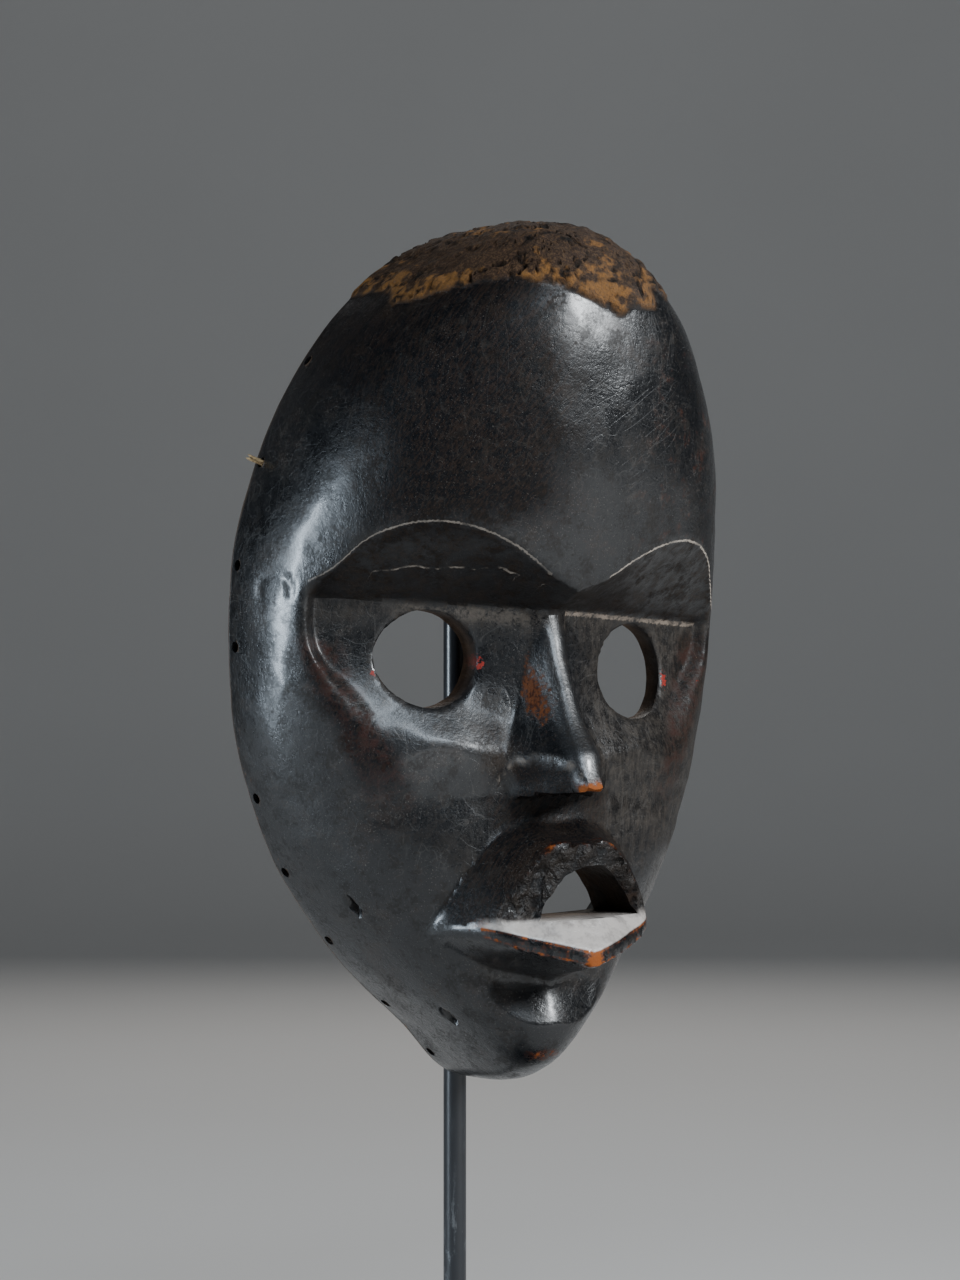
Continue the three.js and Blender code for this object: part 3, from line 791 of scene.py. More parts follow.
    def dust_and_painted_light(self, at: Places) -> Array:
        """Share of pale paint: painted light on a band under the near crease, and dust along the arc over the
        near wing.

        Args:
            at: the places.

        Returns:
            The band under the near crease and the arc over the near wing.
        """
        below = -at.over_crease
        crease = window(below, (-0.2, 0.6), (5.5, 2)) * smooth(-44, -32, at.x) * smooth(0, -9, at.x)
        arc, height = self.carving.nose.wing(-at.x)
        over_wing = window(at.z - height, (-0.7, 0.1), (1.5, 0.4)) * smooth(0, 0.1, arc)
        over_wing = over_wing * smooth(47, 50, at.f)
        return np.clip(0.8 * crease + over_wing, 0, 1)

    def valley(self, side: Array, level: Array) -> Array:
        """Share of the two valleys between the temples and the face plane."""
        near = smooth(8, 3, np.abs(side - self.carving.face.ridge(level) + 3))
        return near * window(level, (70, 92), (123, 119))

    def ridge_sheen(self, at: Places) -> Array:
        """Share of the polish along the ridge of the nose."""
        return smooth(6, 3.5, at.side) * window(at.z, (80, 83), (129, 126)) * smooth(49, 52, at.f)

    def bores(self, at: Places) -> Array:
        """Share of the eye holes' and the mouth's own walls.

        Args:
            at: the places.

        Returns:
            One share for each place.
        """
        walls = [smooth(0.35, -0.15, eye.away(at.x, at.z)) for eye in self.carving.eyes()]
        across = np.abs(at.x - self.carving.mouth.x)
        inside = window(at.lip_level, (46.4, 46.9), (62, 61.6)) * smooth(17.1, 16.5, across)
        return np.clip(sum(walls) + inside * smooth(61.5, 60, at.f), 0, 1)

    def dust(self, at: Places) -> Array:
        """Share of grey dust: in a band under the crease, over the far cheek and above the nose wings.

        Args:
            at: the places.

        Returns:
            One share for each place.
        """
        band = smooth(119, 127, at.level) * smooth(0.6, -0.4, at.over_crease)
        far = smooth(6, 20, at.x) * smooth(56, 72, at.z) * smooth(0.5, -1, at.over_crease)
        wings = self.dusty_wing(at.side, at.z) + 0.8 * self.dusty_cheek(at.x, at.z)
        total = np.clip(0.55 * band + 0.95 * far + 0.6 * wings, 0, 1)
        return total * smooth(66, 60, at.side) * smooth(14, 20, at.f)


# Meshes


@dataclass(frozen=True)
class Spread:
    """Spreads a grid of (w, phi) places evenly over a carved surface, coarse grids first."""

    rows: int
    columns: int
    rounds: tuple[int, ...] = (160, 60, 30)
    ease: float = 0.5
    least_pull: float = 0.5
    relief_pull: float = 2.5
    edge_shares: tuple[float, ...] = (0.15, 0.35, 0.6)

    def resampled(self, grid: Array, rows: Array, columns: Array) -> Array:
        """The grid's values at fractional row and column places."""
        across = np.array([np.interp(columns, np.arange(grid.shape[1]), row) for row in grid])
        return np.array([np.interp(rows, np.arange(grid.shape[0]), column) for column in across.T]).T

    def finer(self, grid: Array, rows: int, columns: int) -> Array:
        """The grid with more rows and columns."""
        at_rows, at_columns = (np.linspace(0, old - 1, new) for old, new in zip(grid.shape, (rows, columns)))
        return self.resampled(grid, at_rows, at_columns)

    def relaxed(self, w: Array, phi: Array, surface: Surface, rounds: int) -> tuple[Array, Array]:
        """Moves every place towards its neighbours, most towards those that lie far off.

        Args:
            w: each place along the mask.
            phi: each place across it.
            surface: gives x, f, z and the depth of carving at (w, phi).
            rounds: how often the places are moved.

        Returns:
            The moved w and phi.
        """
        for _ in range(rounds):
            x, f, z, relief = surface(w, phi)
            total = np.zeros_like(w)
            sums = [np.zeros_like(w), np.zeros_like(w)]
            for axis in (0, 1):
                gap = np.sqrt(sum(np.diff(value, axis=axis) ** 2 for value in (x, f, z)))
                gap += self.relief_pull * np.abs(np.diff(relief, axis=axis)) + self.least_pull
                low = (slice(None, -1), slice(None)) if axis == 0 else (slice(None), slice(None, -1))
                high = (slice(1, None), slice(None)) if axis == 0 else (slice(None), slice(1, None))
                for here, there in ((low, high), (high, low)):
                    total[here] += gap
                    for kept, value in zip(sums, (w, phi)):
                        kept[here] += gap * value[there]
            w_next = w + self.ease * (sums[0] / total - w)
            phi_next = phi + self.ease * (sums[1] / total - phi)
            w_next[0], w_next[-1] = -1, 1
            phi_next[0], phi_next[-1] = phi_next[1], phi_next[-2]
            phi_next[:, 0], phi_next[:, -1] = -1, 1
            w, phi = w_next, phi_next
        return w, phi

    def places(self, surface: Surface) -> tuple[Array, Array]:
        """The evened grid, with a few more columns beside the rim.

        Args:
            surface: gives x, f, z and the depth of carving at (w, phi).

        Returns:
            The grid's w and phi.
        """
        shrink = 2 ** (len(self.rounds) - 1)
        rows, columns = self.rows // shrink, self.columns // shrink
        w, phi = np.meshgrid(np.linspace(-1, 1, rows), np.linspace(-1, 1, columns), indexing="ij")
        for level, rounds in enumerate(self.rounds):
            if level:
                rows, columns = rows * 2, columns * 2
                w, phi = self.finer(w, rows, columns), self.finer(phi, rows, columns)
            w, phi = self.relaxed(w, phi, surface, rounds)
        at_rows, at_columns = np.arange(rows), self.with_edges(columns)
        return self.resampled(w, at_rows, at_columns), self.resampled(phi, at_rows, at_columns)

    def with_edges(self, count: int) -> Array:
        """Grid lines 0 to count - 1, and a few more beside the first and the last."""
        extra = np.array(self.edge_shares)
        return np.sort(np.concatenate((np.arange(count), extra, count - 1 - extra)))


def only(*objects: bpy.types.Object) -> None:
    """Selects some objects and makes the first the active one.

    Args:
        objects: what is selected.
    """
    bpy.ops.object.select_all(action="DESELECT")
    for obj in objects:
        obj.select_set(True)
    bpy.context.view_layer.objects.active = objects[0]


def joined(objects: list[bpy.types.Object]) -> bpy.types.Object:
    """Joins objects into the first.

    Args:
        objects: what is joined.

    Returns:
        The joined object.
    """
    only(*objects)
    bpy.ops.object.join()
    return bpy.context.object


def coordinates(obj: bpy.types.Object) -> Array:
    """The object's mesh points, one row each.

    Args:
        obj: the object.

    Returns:
        Their places in metres.
    """
    values = np.empty(len(obj.data.vertices) * 3)
    obj.data.vertices.foreach_get("co", values)
    return values.reshape(-1, 3)


def set_coordinates(obj: bpy.types.Object, points: Array) -> None:
    """Moves the object's mesh points."""
    obj.data.vertices.foreach_set("co", points.ravel())
    obj.data.update()


def set_values(obj: bpy.types.Object, name: str, values: Array) -> None:
    """Stores one value for each mesh point under a name that the finishes read."""
    layer = obj.data.attributes.new(name, "FLOAT", "POINT")
    layer.data.foreach_set("value", np.ascontiguousarray(values, dtype=np.float32))


def apply_all(obj: bpy.types.Object) -> None:
    """Applies the object's modifiers in order.

    Args:
        obj: the object.
    """
    only(obj)
    for modifier in list(obj.modifiers):
        bpy.ops.object.modifier_apply(modifier=modifier.name)


def cut_away(obj: bpy.types.Object, knife: bpy.types.Object, solver: str) -> None:
    """Takes the knife's shape off the object, after its other modifiers.

    Args:
        obj: what is cut.
        knife: the shape to take off; it is removed afterwards.
        solver: the Boolean modifier's way of working.
    """
    boolean = obj.modifiers.new("cut", "BOOLEAN")
    boolean.operation, boolean.solver, boolean.object = "DIFFERENCE", solver, knife
    apply_all(obj)
    bpy.data.objects.remove(knife, do_unlink=True)


def edit(obj: bpy.types.Object, *steps: Callable[[], object], select: str = "VERT") -> None:
    """Runs mesh operators in edit mode, with everything in the object selected.

    Args:
        obj: the object to edit.
        steps: the operators, in order.
        select: what kind of element they work on.
    """
    only(obj)
    bpy.ops.object.mode_set(mode="EDIT")
    bpy.ops.mesh.select_mode(type=select)
    bpy.ops.mesh.select_all(action="SELECT")
    for step in steps:
        step()
    bpy.ops.object.mode_set(mode="OBJECT")


def face_outwards() -> None:
    """Turns every face of the mesh in edit mode outwards."""
    bpy.ops.mesh.normals_make_consistent(inside=False)


def settle(obj: bpy.types.Object) -> None:
    """Puts the object's place, turn and size into its mesh, so that its origin is the frame's."""
    only(obj)
    bpy.ops.object.transform_apply(location=True, rotation=True, scale=True)


def smooth_faces(obj: bpy.types.Object, degrees: float) -> None:
    """Shades smooth, with creases sharper than the angle left crisp."""
    only(obj)
    bpy.ops.object.shade_smooth_by_angle(angle=math.radians(degrees))


@dataclass
class MaskPiece:
    """The carved mask itself."""

    carving: Carving
    front_grid: Spread = Spread(288, 216)
    hollow_grid: Spread = Spread(288, 84)
    rim_plane_y: float = 22.5
    chin_height: float = 115
    relief_start: float = 3
    hole_heights: tuple[float, ...] = (7, 21, 39, 58, 78, 119, 141, 169, 197)
    hole_inset: float = 4.5
    hole_radius: float = 1.5
    hole_length: float = 32
    hole_middle: float = 8
    eye_sides: int = 96
    eye_wobble: tuple[Pair, Pair] = ((0.22, 4), (0.1, 1.4))
    eye_path: float = 9
    nick_turn: float = 0.12
    nick_width: float = 0.07
    nick_depth: float = 0.45
    mouth_points: int = 60
    mouth_behind: float = 20
    mouth_wobble: Grain = Grain(0.5, 3, 31)
    through: float = 200
    crease_angle: float = 38

    def to_world(self, x: Array, f: Array, z: Array) -> Array:
        """Carving millimetres to the frame's metres."""
        places = (np.ravel(x), self.rim_plane_y - np.ravel(f), self.chin_height + np.ravel(z))
        return np.column_stack(places) * MM

    def to_carving(self, points: Array) -> Array:
        """The frame's metres to carving millimetres."""
        x, y, z = (points / MM).T
        return np.column_stack((x, self.rim_plane_y - y, z - self.chin_height))

    def normals(self, x: Array, f: Array, z: Array) -> Array:
        """Directions square to a surface.

        Args:
            x, f, z: a grid of places.

        Returns:
            A unit vector for each place, out of the carving's front.
        """
        places = np.stack((x, f, z), axis=-1)
        along, across = np.gradient(places, axis=0), np.gradient(places, axis=1)
        normal = np.cross(along, across)
        length = np.linalg.norm(normal, axis=-1, keepdims=True)
        normal = normal / np.maximum(length, 1e-9)
        normal[0], normal[-1] = normal[1].mean(axis=0), normal[-2].mean(axis=0)
        return normal * np.sign(normal[..., 1].sum())

    def sheet(self, name: str, grid: Spread, surface: Surface, relief: Relief,
              rim: float) -> bpy.types.Object:
        """One side of the carving as a grid mesh.

        Args:
            name: the new object's name.
            grid: how finely the side is divided.
            surface: gives x, f, z and the depth of carving at (w, phi).
            relief: gives the fine relief at points, in millimetres.
            rim: how far the rim's edge is rounded, negative for the hollow's side.

        Returns:
            The open sheet, ending on the rim's flat back.
        """
        w, phi = grid.places(surface)
        x, f, z, _ = surface(w, phi)
        normal = self.normals(x, f, z)
        points = np.column_stack((x.ravel(), f.ravel(), z.ravel()))
        flat = normal.reshape(-1, 3)
        rise = relief(points)
        moved = points + flat * rise[:, None]
        moved[:, 1] = points[:, 1] + flat[:, 1] * rise * smooth(0, self.relief_start, points[:, 1])
        sideways = flat * np.array([1, 0, 1])
        sideways /= np.maximum(np.linalg.norm(sideways, axis=1, keepdims=True), 1e-6)
        near = np.clip(1 - points[:, 1] / abs(rim), 0, 1)
        moved -= sideways * (rim * (1 - np.sqrt(1 - near * near)))[:, None]
        rows, columns = w.shape
        bpy.ops.mesh.primitive_grid_add(x_subdivisions=columns - 1, y_subdivisions=rows - 1)
        obj = bpy.context.object
        obj.name = name
        set_coordinates(obj, self.to_world(*moved.T))
        for first in (columns * (rows - 1), 0):
            self.close_end(obj, first, columns)
        LOG.info("%s: %d points", name, len(obj.data.vertices))
        return obj

    def close_end(self, obj: bpy.types.Object, first: int, count: int) -> None:
        """Joins one row of points, which all lie on the rim's line, into one.

        Args:
            obj: the sheet.
            first: the row's first point.
            count: how many points the row has.
        """
        chosen = np.zeros(len(obj.data.vertices), dtype=bool)
        chosen[first:first + count] = True
        edit(obj, lambda: bpy.ops.mesh.select_all(action="DESELECT"))
        obj.data.vertices.foreach_set("select", chosen)
        bpy.ops.object.mode_set(mode="EDIT")
        bpy.ops.mesh.merge(type="CENTER")
        bpy.ops.object.mode_set(mode="OBJECT")

    def body(self, weathering: Weathering) -> bpy.types.Object:
        """Front and hollow, joined by the flat back of the rim.

        Args:
            weathering: the fine relief of both.

        Returns:
            The closed body, without its openings.
        """
        carving, rim = self.carving, self.carving.rim_round
        front = self.sheet("mask_front", self.front_grid, carving.front, weathering.relief, rim)
        back = self.sheet("mask_hollow", self.hollow_grid, carving.hollow, weathering.tool_marks, -rim)
        edit(back, bpy.ops.mesh.flip_normals)
        body = joined([front, back])
        edit(body,
             lambda: bpy.ops.mesh.select_all(action="DESELECT"),
             bpy.ops.mesh.select_non_manifold,
             bpy.ops.mesh.bridge_edge_loops,
             lambda: bpy.ops.mesh.select_all(action="SELECT"),
             lambda: bpy.ops.mesh.quads_convert_to_tris(quad_method="SHORTEST_DIAGONAL"),
             face_outwards, select="EDGE")
        return body

    def eye_cutter(self, eye: Opening, seed: int) -> bpy.types.Object:
        """A slightly uneven round cutter for one eye hole.

        Args:
            eye: the hole.
            seed: tells one hole's unevenness from the other's.

        Returns:
            The cutter, right through the mask.
        """
        bpy.ops.mesh.primitive_cylinder_add(vertices=self.eye_sides, radius=1, depth=2)
        obj = bpy.context.object
        points = coordinates(obj)
        turn = np.arctan2(points[:, 1], points[:, 0])
        path = self.eye_path
        around = np.column_stack((np.cos(turn) * path, np.sin(turn) * path, 0 * turn + seed))
        radius = eye.radius
        for k, (height, size) in enumerate(self.eye_wobble):
            radius = radius + height * grain(around, size, seed + k)
        if eye.x < 0:
            off_nick = (turn - math.pi + self.nick_turn) / self.nick_width
            radius = radius + self.nick_depth * np.exp(-off_nick ** 2)
        forward = np.where(points[:, 2] > 0, self.through, -self.through)
        place = (eye.x + radius * np.cos(turn), forward, eye.z + radius * np.sin(turn))
        set_coordinates(obj, self.to_world(*place))
        return obj

    def mouth_cutter(self) -> bpy.types.Object:
        """A cutter with the mouth opening's outline.

        Returns:
            The cutter, from inside the hollow to in front of the lips.
        """
        mouth, outline = self.carving.mouth, self.carving.mouth.outline(self.mouth_points)
        bpy.ops.mesh.primitive_cylinder_add(vertices=len(outline), radius=1, depth=2)
        obj = bpy.context.object
        points = coordinates(obj)
        turn = np.arctan2(points[:, 1], points[:, 0]) % (2 * np.pi)
        order = np.round(turn / (2 * np.pi) * len(outline)).astype(int) % len(outline)
        x, level = outline[order].T
        ragged = self.mouth_wobble(np.column_stack((x, level, 0 * x)))
        level = level + np.where(level > mouth.floor + 1, ragged, 0)
        forward = np.where(points[:, 2] > 0, self.through, self.mouth_behind)
        set_coordinates(obj, self.to_world(x, forward, level + self.carving.lips.tilt * x))
        return obj

    def rim_place(self, height: float, side: int) -> tuple[Array, Array]:
        """A place on the rim's line.

        Args:
            height: its height over the chin.
            side: -1 for the viewer's left, 1 for the right.

        Returns:
            Its x and z, and the way out of it, square to the outline.
        """
        w = np.linspace(-1, 1, 4001)
        half, z, _, _ = self.carving.dome.outline(w)
        x = side * half + self.carving.dome.lean(z)
        k = int(np.searchsorted(z, height))
        along = np.array([x[k + 1] - x[k - 1], z[k + 1] - z[k - 1]])
        along /= np.linalg.norm(along)
        return np.array([x[k], z[k]]), side * np.array([along[1], -along[0]])

    def hole_cutter(self, height: float, side: int) -> bpy.types.Object:
        """A cutter for one of the small holes through the rim.

        Args:
            height: the hole's height over the chin.
            side: -1 for the viewer's left, 1 for the right.

        Returns:
            The cutter.
        """
        place, out = self.rim_place(height, side)
        bpy.ops.mesh.primitive_cylinder_add(vertices=20, radius=self.hole_radius * MM,
                                            depth=self.hole_length * MM)
        obj = bpy.context.object
        obj.rotation_euler = (0, math.atan2(out[0], out[1]), 0)
        middle = place - out * self.hole_middle
        obj.location = self.to_world(middle[0], self.hole_inset, middle[1])[0]
        settle(obj)
        return obj

    def knife(self) -> bpy.types.Object:
        """Cutters for the eyes, the mouth and the small rim holes, as one object.

        Returns:
            The cutters.
        """
        cutters = [self.eye_cutter(eye, 40 + 5 * k) for k, eye in enumerate(self.carving.eyes())]
        cutters.append(self.mouth_cutter())
        cutters += [self.hole_cutter(height, side) for height in self.hole_heights for side in (-1, 1)]
        knife = joined(cutters)
        edit(knife, face_outwards)
        return knife

    def behind(self, obj: bpy.types.Object) -> Array:
        """Tells the hollow and the rim's back from the front.

        Args:
            obj: the mask.

        Returns:
            For each point, the share of it that faces backwards.
        """
        mesh = obj.data
        normals = np.empty(len(mesh.polygons) * 3)
        mesh.polygons.foreach_get("normal", normals)
        away = normals.reshape(-1, 3)[:, 1]
        totals = np.empty(len(mesh.polygons), dtype=np.int64)
        mesh.polygons.foreach_get("loop_total", totals)
        corners = np.empty(len(mesh.loops), dtype=np.int64)
        mesh.loops.foreach_get("vertex_index", corners)
        owner = np.repeat(np.arange(len(totals)), totals)
        count = np.bincount(corners, minlength=len(mesh.vertices))
        total = np.bincount(corners, weights=away[owner], minlength=len(mesh.vertices))
        return smooth(0, 0.35, total / np.maximum(count, 1))

    def build(self) -> bpy.types.Object:
        """Makes the mask.

        Returns:
            The mask, with its marks stored for the finish.
        """
        weathering = Weathering(self.carving)
        obj = self.body(weathering)
        cut_away(obj, self.knife(), "MANIFOLD")
        obj.name = "mask_wood"
        points = self.to_carving(coordinates(obj))
        for name, values in weathering.marks(points).items():
            set_values(obj, name, values)
        set_values(obj, "behind", self.behind(obj))
        smooth_faces(obj, self.crease_angle)
        LOG.info("mask: %d faces", len(obj.data.polygons))
        return obj


# Finishes


class Slot(Enum):
    """The record's material slots."""

    WOOD = "mask_wood"
    FIBRE = "peg_fibre"
    STEEL = "stand_steel"
    FELT = "pad_felt"


Colour = Triple
Socket = bpy.types.NodeSocket
Value = Socket | float | Colour
UNTURNED = (0, 0, 0)


class Shader:
    """A node material, put together a node at a time."""

    def __init__(self, name: str) -> None:
        """Starts a material with a plain surface.

        Args:
            name: the material's name.
        """
        self.material = bpy.data.materials.new(name)
        self.material.use_nodes = True
        self.tree = self.material.node_tree
        self.surface = next(node for node in self.tree.nodes if node.type == "BSDF_PRINCIPLED")
        self.place = self.tree.nodes.new("ShaderNodeTexCoord").outputs["Object"]

    def link(self, value: Value, socket: Socket) -> None:
        """Feeds an input.

        Args:
            value: another node's output, or a constant.
            socket: the input.
        """
        if isinstance(value, Socket):
            self.tree.links.new(value, socket)
        elif isinstance(value, tuple):
            socket.default_value = (*value, 1) if socket.type == "RGBA" else value
        else:
            socket.default_value = value

    def set(self, **values: Value) -> None:
        """Sets inputs of the surface; an underscore in a name stands for a space."""
        for name, value in values.items():
            self.link(value, self.surface.inputs[name.replace("_", " ")])

    def stored(self, name: str) -> Socket:
        """A value stored on the mesh.

        Args:
            name: the name it is stored under.

        Returns:
            The value.
        """
        node = self.tree.nodes.new("ShaderNodeAttribute")
        node.attribute_name = name
        return node.outputs["Fac"]

    def turned(self, turn: Triple, size: Triple) -> Socket:
        """Object coordinates for a pattern that runs one way.

        Args:
            turn: the pattern's turn about each axis, in radians.
            size: how far it is stretched along each axis.

        Returns:
            The turned and stretched coordinates.
        """
        node = self.tree.nodes.new("ShaderNodeMapping")
        node.vector_type = "TEXTURE"
        self.link(self.place, node.inputs["Vector"])
        node.inputs["Rotation"].default_value = turn
        node.inputs["Scale"].default_value = size
        return node.outputs["Vector"]

    def noise(self, millimetres: float, detail: float = 4, roughness: float = 0.55,
              place: Socket | None = None) -> Socket:
        """Cloudy noise, about 0.3 to 0.7.

        Args:
            millimetres: the size of its features.
            detail: how many finer noises it holds.
            roughness: how strong the finer ones are.
            place: the coordinates, unless they are the object's own.

        Returns:
            The noise.
        """
        node = self.tree.nodes.new("ShaderNodeTexNoise")
        self.link(place or self.place, node.inputs["Vector"])
        node.inputs["Scale"].default_value = 1 / (millimetres * MM)
        node.inputs["Detail"].default_value = detail
        node.inputs["Roughness"].default_value = roughness
        return node.outputs["Fac"]

    def step(self, value: Socket, start: float, end: float, low: float = 0, high: float = 1) -> Socket:
        """A soft step.

        Args:
            value: what is stepped.
            start, end: where the step begins and ends.
            low, high: the result before and after it.

        Returns:
            The stepped value.
        """
        node = self.tree.nodes.new("ShaderNodeMapRange")
        node.interpolation_type = "SMOOTHSTEP"
        self.link(value, node.inputs["Value"])
        for name, number in zip(("From Min", "From Max", "To Min", "To Max"), (start, end, low, high)):
            node.inputs[name].default_value = number
        return node.outputs["Result"]

    def chain(self, operation: str, values: tuple[Value, ...]) -> Socket:
        """One operation over several values in turn.

        Args:
            operation: the math node's operation.
            values: two values or more.

        Returns:
            The last result.
        """
        total = values[0]
        for value in values[1:]:
            node = self.tree.nodes.new("ShaderNodeMath")
            node.operation = operation
            self.link(total, node.inputs[0])
            self.link(value, node.inputs[1])
            total = node.outputs[0]
        return total

    def sum(self, *values: Value) -> Socket:
        """The values added up."""
        return self.chain("ADD", values)

    def times(self, *values: Value) -> Socket:
        """The values multiplied."""
        return self.chain("MULTIPLY", values)

    def swing(self, value: Socket, amount: float) -> Socket:
        """Noise about 0 instead of about a half, times an amount."""
        return self.times(self.sum(value, -0.5), amount)

    def line(self, distance: Socket, width: float) -> Socket:
        """1 on a thin line, from a signed distance."""
        return self.step(self.chain("ABSOLUTE", (distance, 0)), width, width * 0.4)

    def ragged(self, share: Socket, noise: Socket) -> Socket:
        """A share with its edges roughened by noise, and none of the noise elsewhere."""
        return self.sum(share, self.times(self.step(share, 0.02, 0.12), noise))

    def clamp(self, value: Socket) -> Socket:
        """The value kept between 0 and 1.

        Args:
            value: any value.

        Returns:
            The clamped value.
        """
        node = self.tree.nodes.new("ShaderNodeClamp")
        self.link(value, node.inputs["Value"])
        return node.outputs["Result"]

    def between(self, share: Value, ends: tuple[Value, Value], kind: str, first: int, out: int) -> Socket:
        """A value between two others.

        Args:
            share: 0 for the first, 1 for the second.
            ends: the two values.
            kind: the mix node's kind of data.
            first: the number of the first value's input.
            out: the number of the output.

        Returns:
            The value between.
        """
        node = self.tree.nodes.new("ShaderNodeMix")
        node.data_type = kind
        for value, number in zip((share, *ends), (0, first, first + 1)):
            self.link(value, node.inputs[number])
        return node.outputs[out]

    def blend(self, share: Value, a: Value, b: Value) -> Socket:
        """A colour between a and b."""
        return self.between(share, (a, b), "RGBA", 6, 2)

    def mixed(self, share: Value, a: Value, b: Value) -> Socket:
        """A number between a and b."""
        return self.between(share, (a, b), "FLOAT", 2, 0)

    def scratches(self, turn: Triple, gap: float, width: float, length: float) -> Socket:
        """Fine straight scratches one way, broken up along their length.

        Args:
            turn: their turn about each axis, in radians.
            gap: how far apart they lie, in millimetres.
            width: how wide they are, as a share of the noise's swing.
            length: how long they are, in gaps.

        Returns:
            1 in a scratch, 0 elsewhere.
        """
        lines = self.noise(gap, 1, 0.4, self.turned(turn, (length, 1, 1)))
        thin = self.step(self.chain("ABSOLUTE", (self.sum(lines, -0.5), 0)), width, width * 0.3)
        return self.times(thin, self.step(self.noise(gap * 7, 2), 0.5, 0.62))

    def bump(self, height: Socket, millimetres: float, strength: float = 1) -> None:
        """Adds fine surface relief to what the surface has.

        Args:
            height: the relief's height, 0 to 1.
            millimetres: how high 1 is.
            strength: how strongly it shows.
        """
        node = self.tree.nodes.new("ShaderNodeBump")
        node.inputs["Strength"].default_value = strength
        node.inputs["Distance"].default_value = millimetres * MM
        self.link(height, node.inputs["Height"])
        if self.surface.inputs["Normal"].links:
            self.link(self.surface.inputs["Normal"].links[0].from_socket, node.inputs["Normal"])
        self.link(node.outputs["Normal"], self.surface.inputs["Normal"])


@dataclass(frozen=True)
class PatinaFinish:
    """Old carved wood: glossy black patina, worn, dusty and crusted in places, with painted shade under the
    brows, a painted highlight on the lower lip's shelf and painted light under the near crease.
    """

    black: Colour = (0.0042, 0.0046, 0.0056)
    brown: Colour = (0.0125, 0.0075, 0.0052)
    fleck: Colour = (0.085, 0.077, 0.068)
    grime: Colour = (0.0100, 0.0082, 0.0070)
    scratch: Colour = (0.095, 0.085, 0.072)
    dust: Colour = (0.058, 0.047, 0.037)
    # Pale paint for the painted light under the near crease, and for the dust over the near wing.
    dust_and_painted_light: Colour = (0.13, 0.108, 0.088)
    valley: Colour = (0.030, 0.010, 0.007)
    bare: Colour = (0.024, 0.015, 0.011)
    rim: Colour = (0.17, 0.090, 0.052)
    # deep and deep_brown paint the shade under the brows; deep is also in the bores' colour and deep_brown in
    # the chipped lip's.
    deep: Colour = (0.006, 0.005, 0.005)
    deep_brown: Colour = (0.016, 0.011, 0.008)
    worn: Colour = (0.25, 0.070, 0.016)
    worn_dark: Colour = (0.040, 0.010, 0.004)
    rub: Colour = (0.100, 0.032, 0.010)
    rub_dark: Colour = (0.035, 0.009, 0.003)
    red: Colour = (0.25, 0.014, 0.006)
    pale: Colour = (0.50, 0.43, 0.36)
    crease: Colour = (0.30, 0.24, 0.19)
    # Pale colour of the lower lip's shelf: partly worn wood, partly a painted highlight.
    shelf: Colour = (0.46, 0.42, 0.39)
    crust_dark: Colour = (0.035, 0.020, 0.013)
    crust_light: Colour = (0.11, 0.065, 0.034)
    crust_crack: Colour = (0.008, 0.006, 0.005)
    ochre: Colour = (0.21, 0.098, 0.030)
    bore: Colour = (0.022, 0.014, 0.010)
    inside: Colour = (0.085, 0.050, 0.030)
    inside_dark: Colour = (0.040, 0.025, 0.017)
    inside_light: Colour = (0.12, 0.075, 0.045)
    gloss: float = 0.34
    scratch_ways: tuple[Triple, ...] = ((0.3, 0.2, 0.5), (0.2, -0.6, 0.1), (-0.2, 1.2, -0.3),
                                        (0.9, 0.3, 1.1), (0.5, -1.3, 0.8), (-0.8, 0.1, -0.9))

    def material(self) -> bpy.types.Material:
        """Builds the finish.

        Returns:
            The material.
        """
        patina = Patina(self)
        patina.lay_all()
        return patina.material


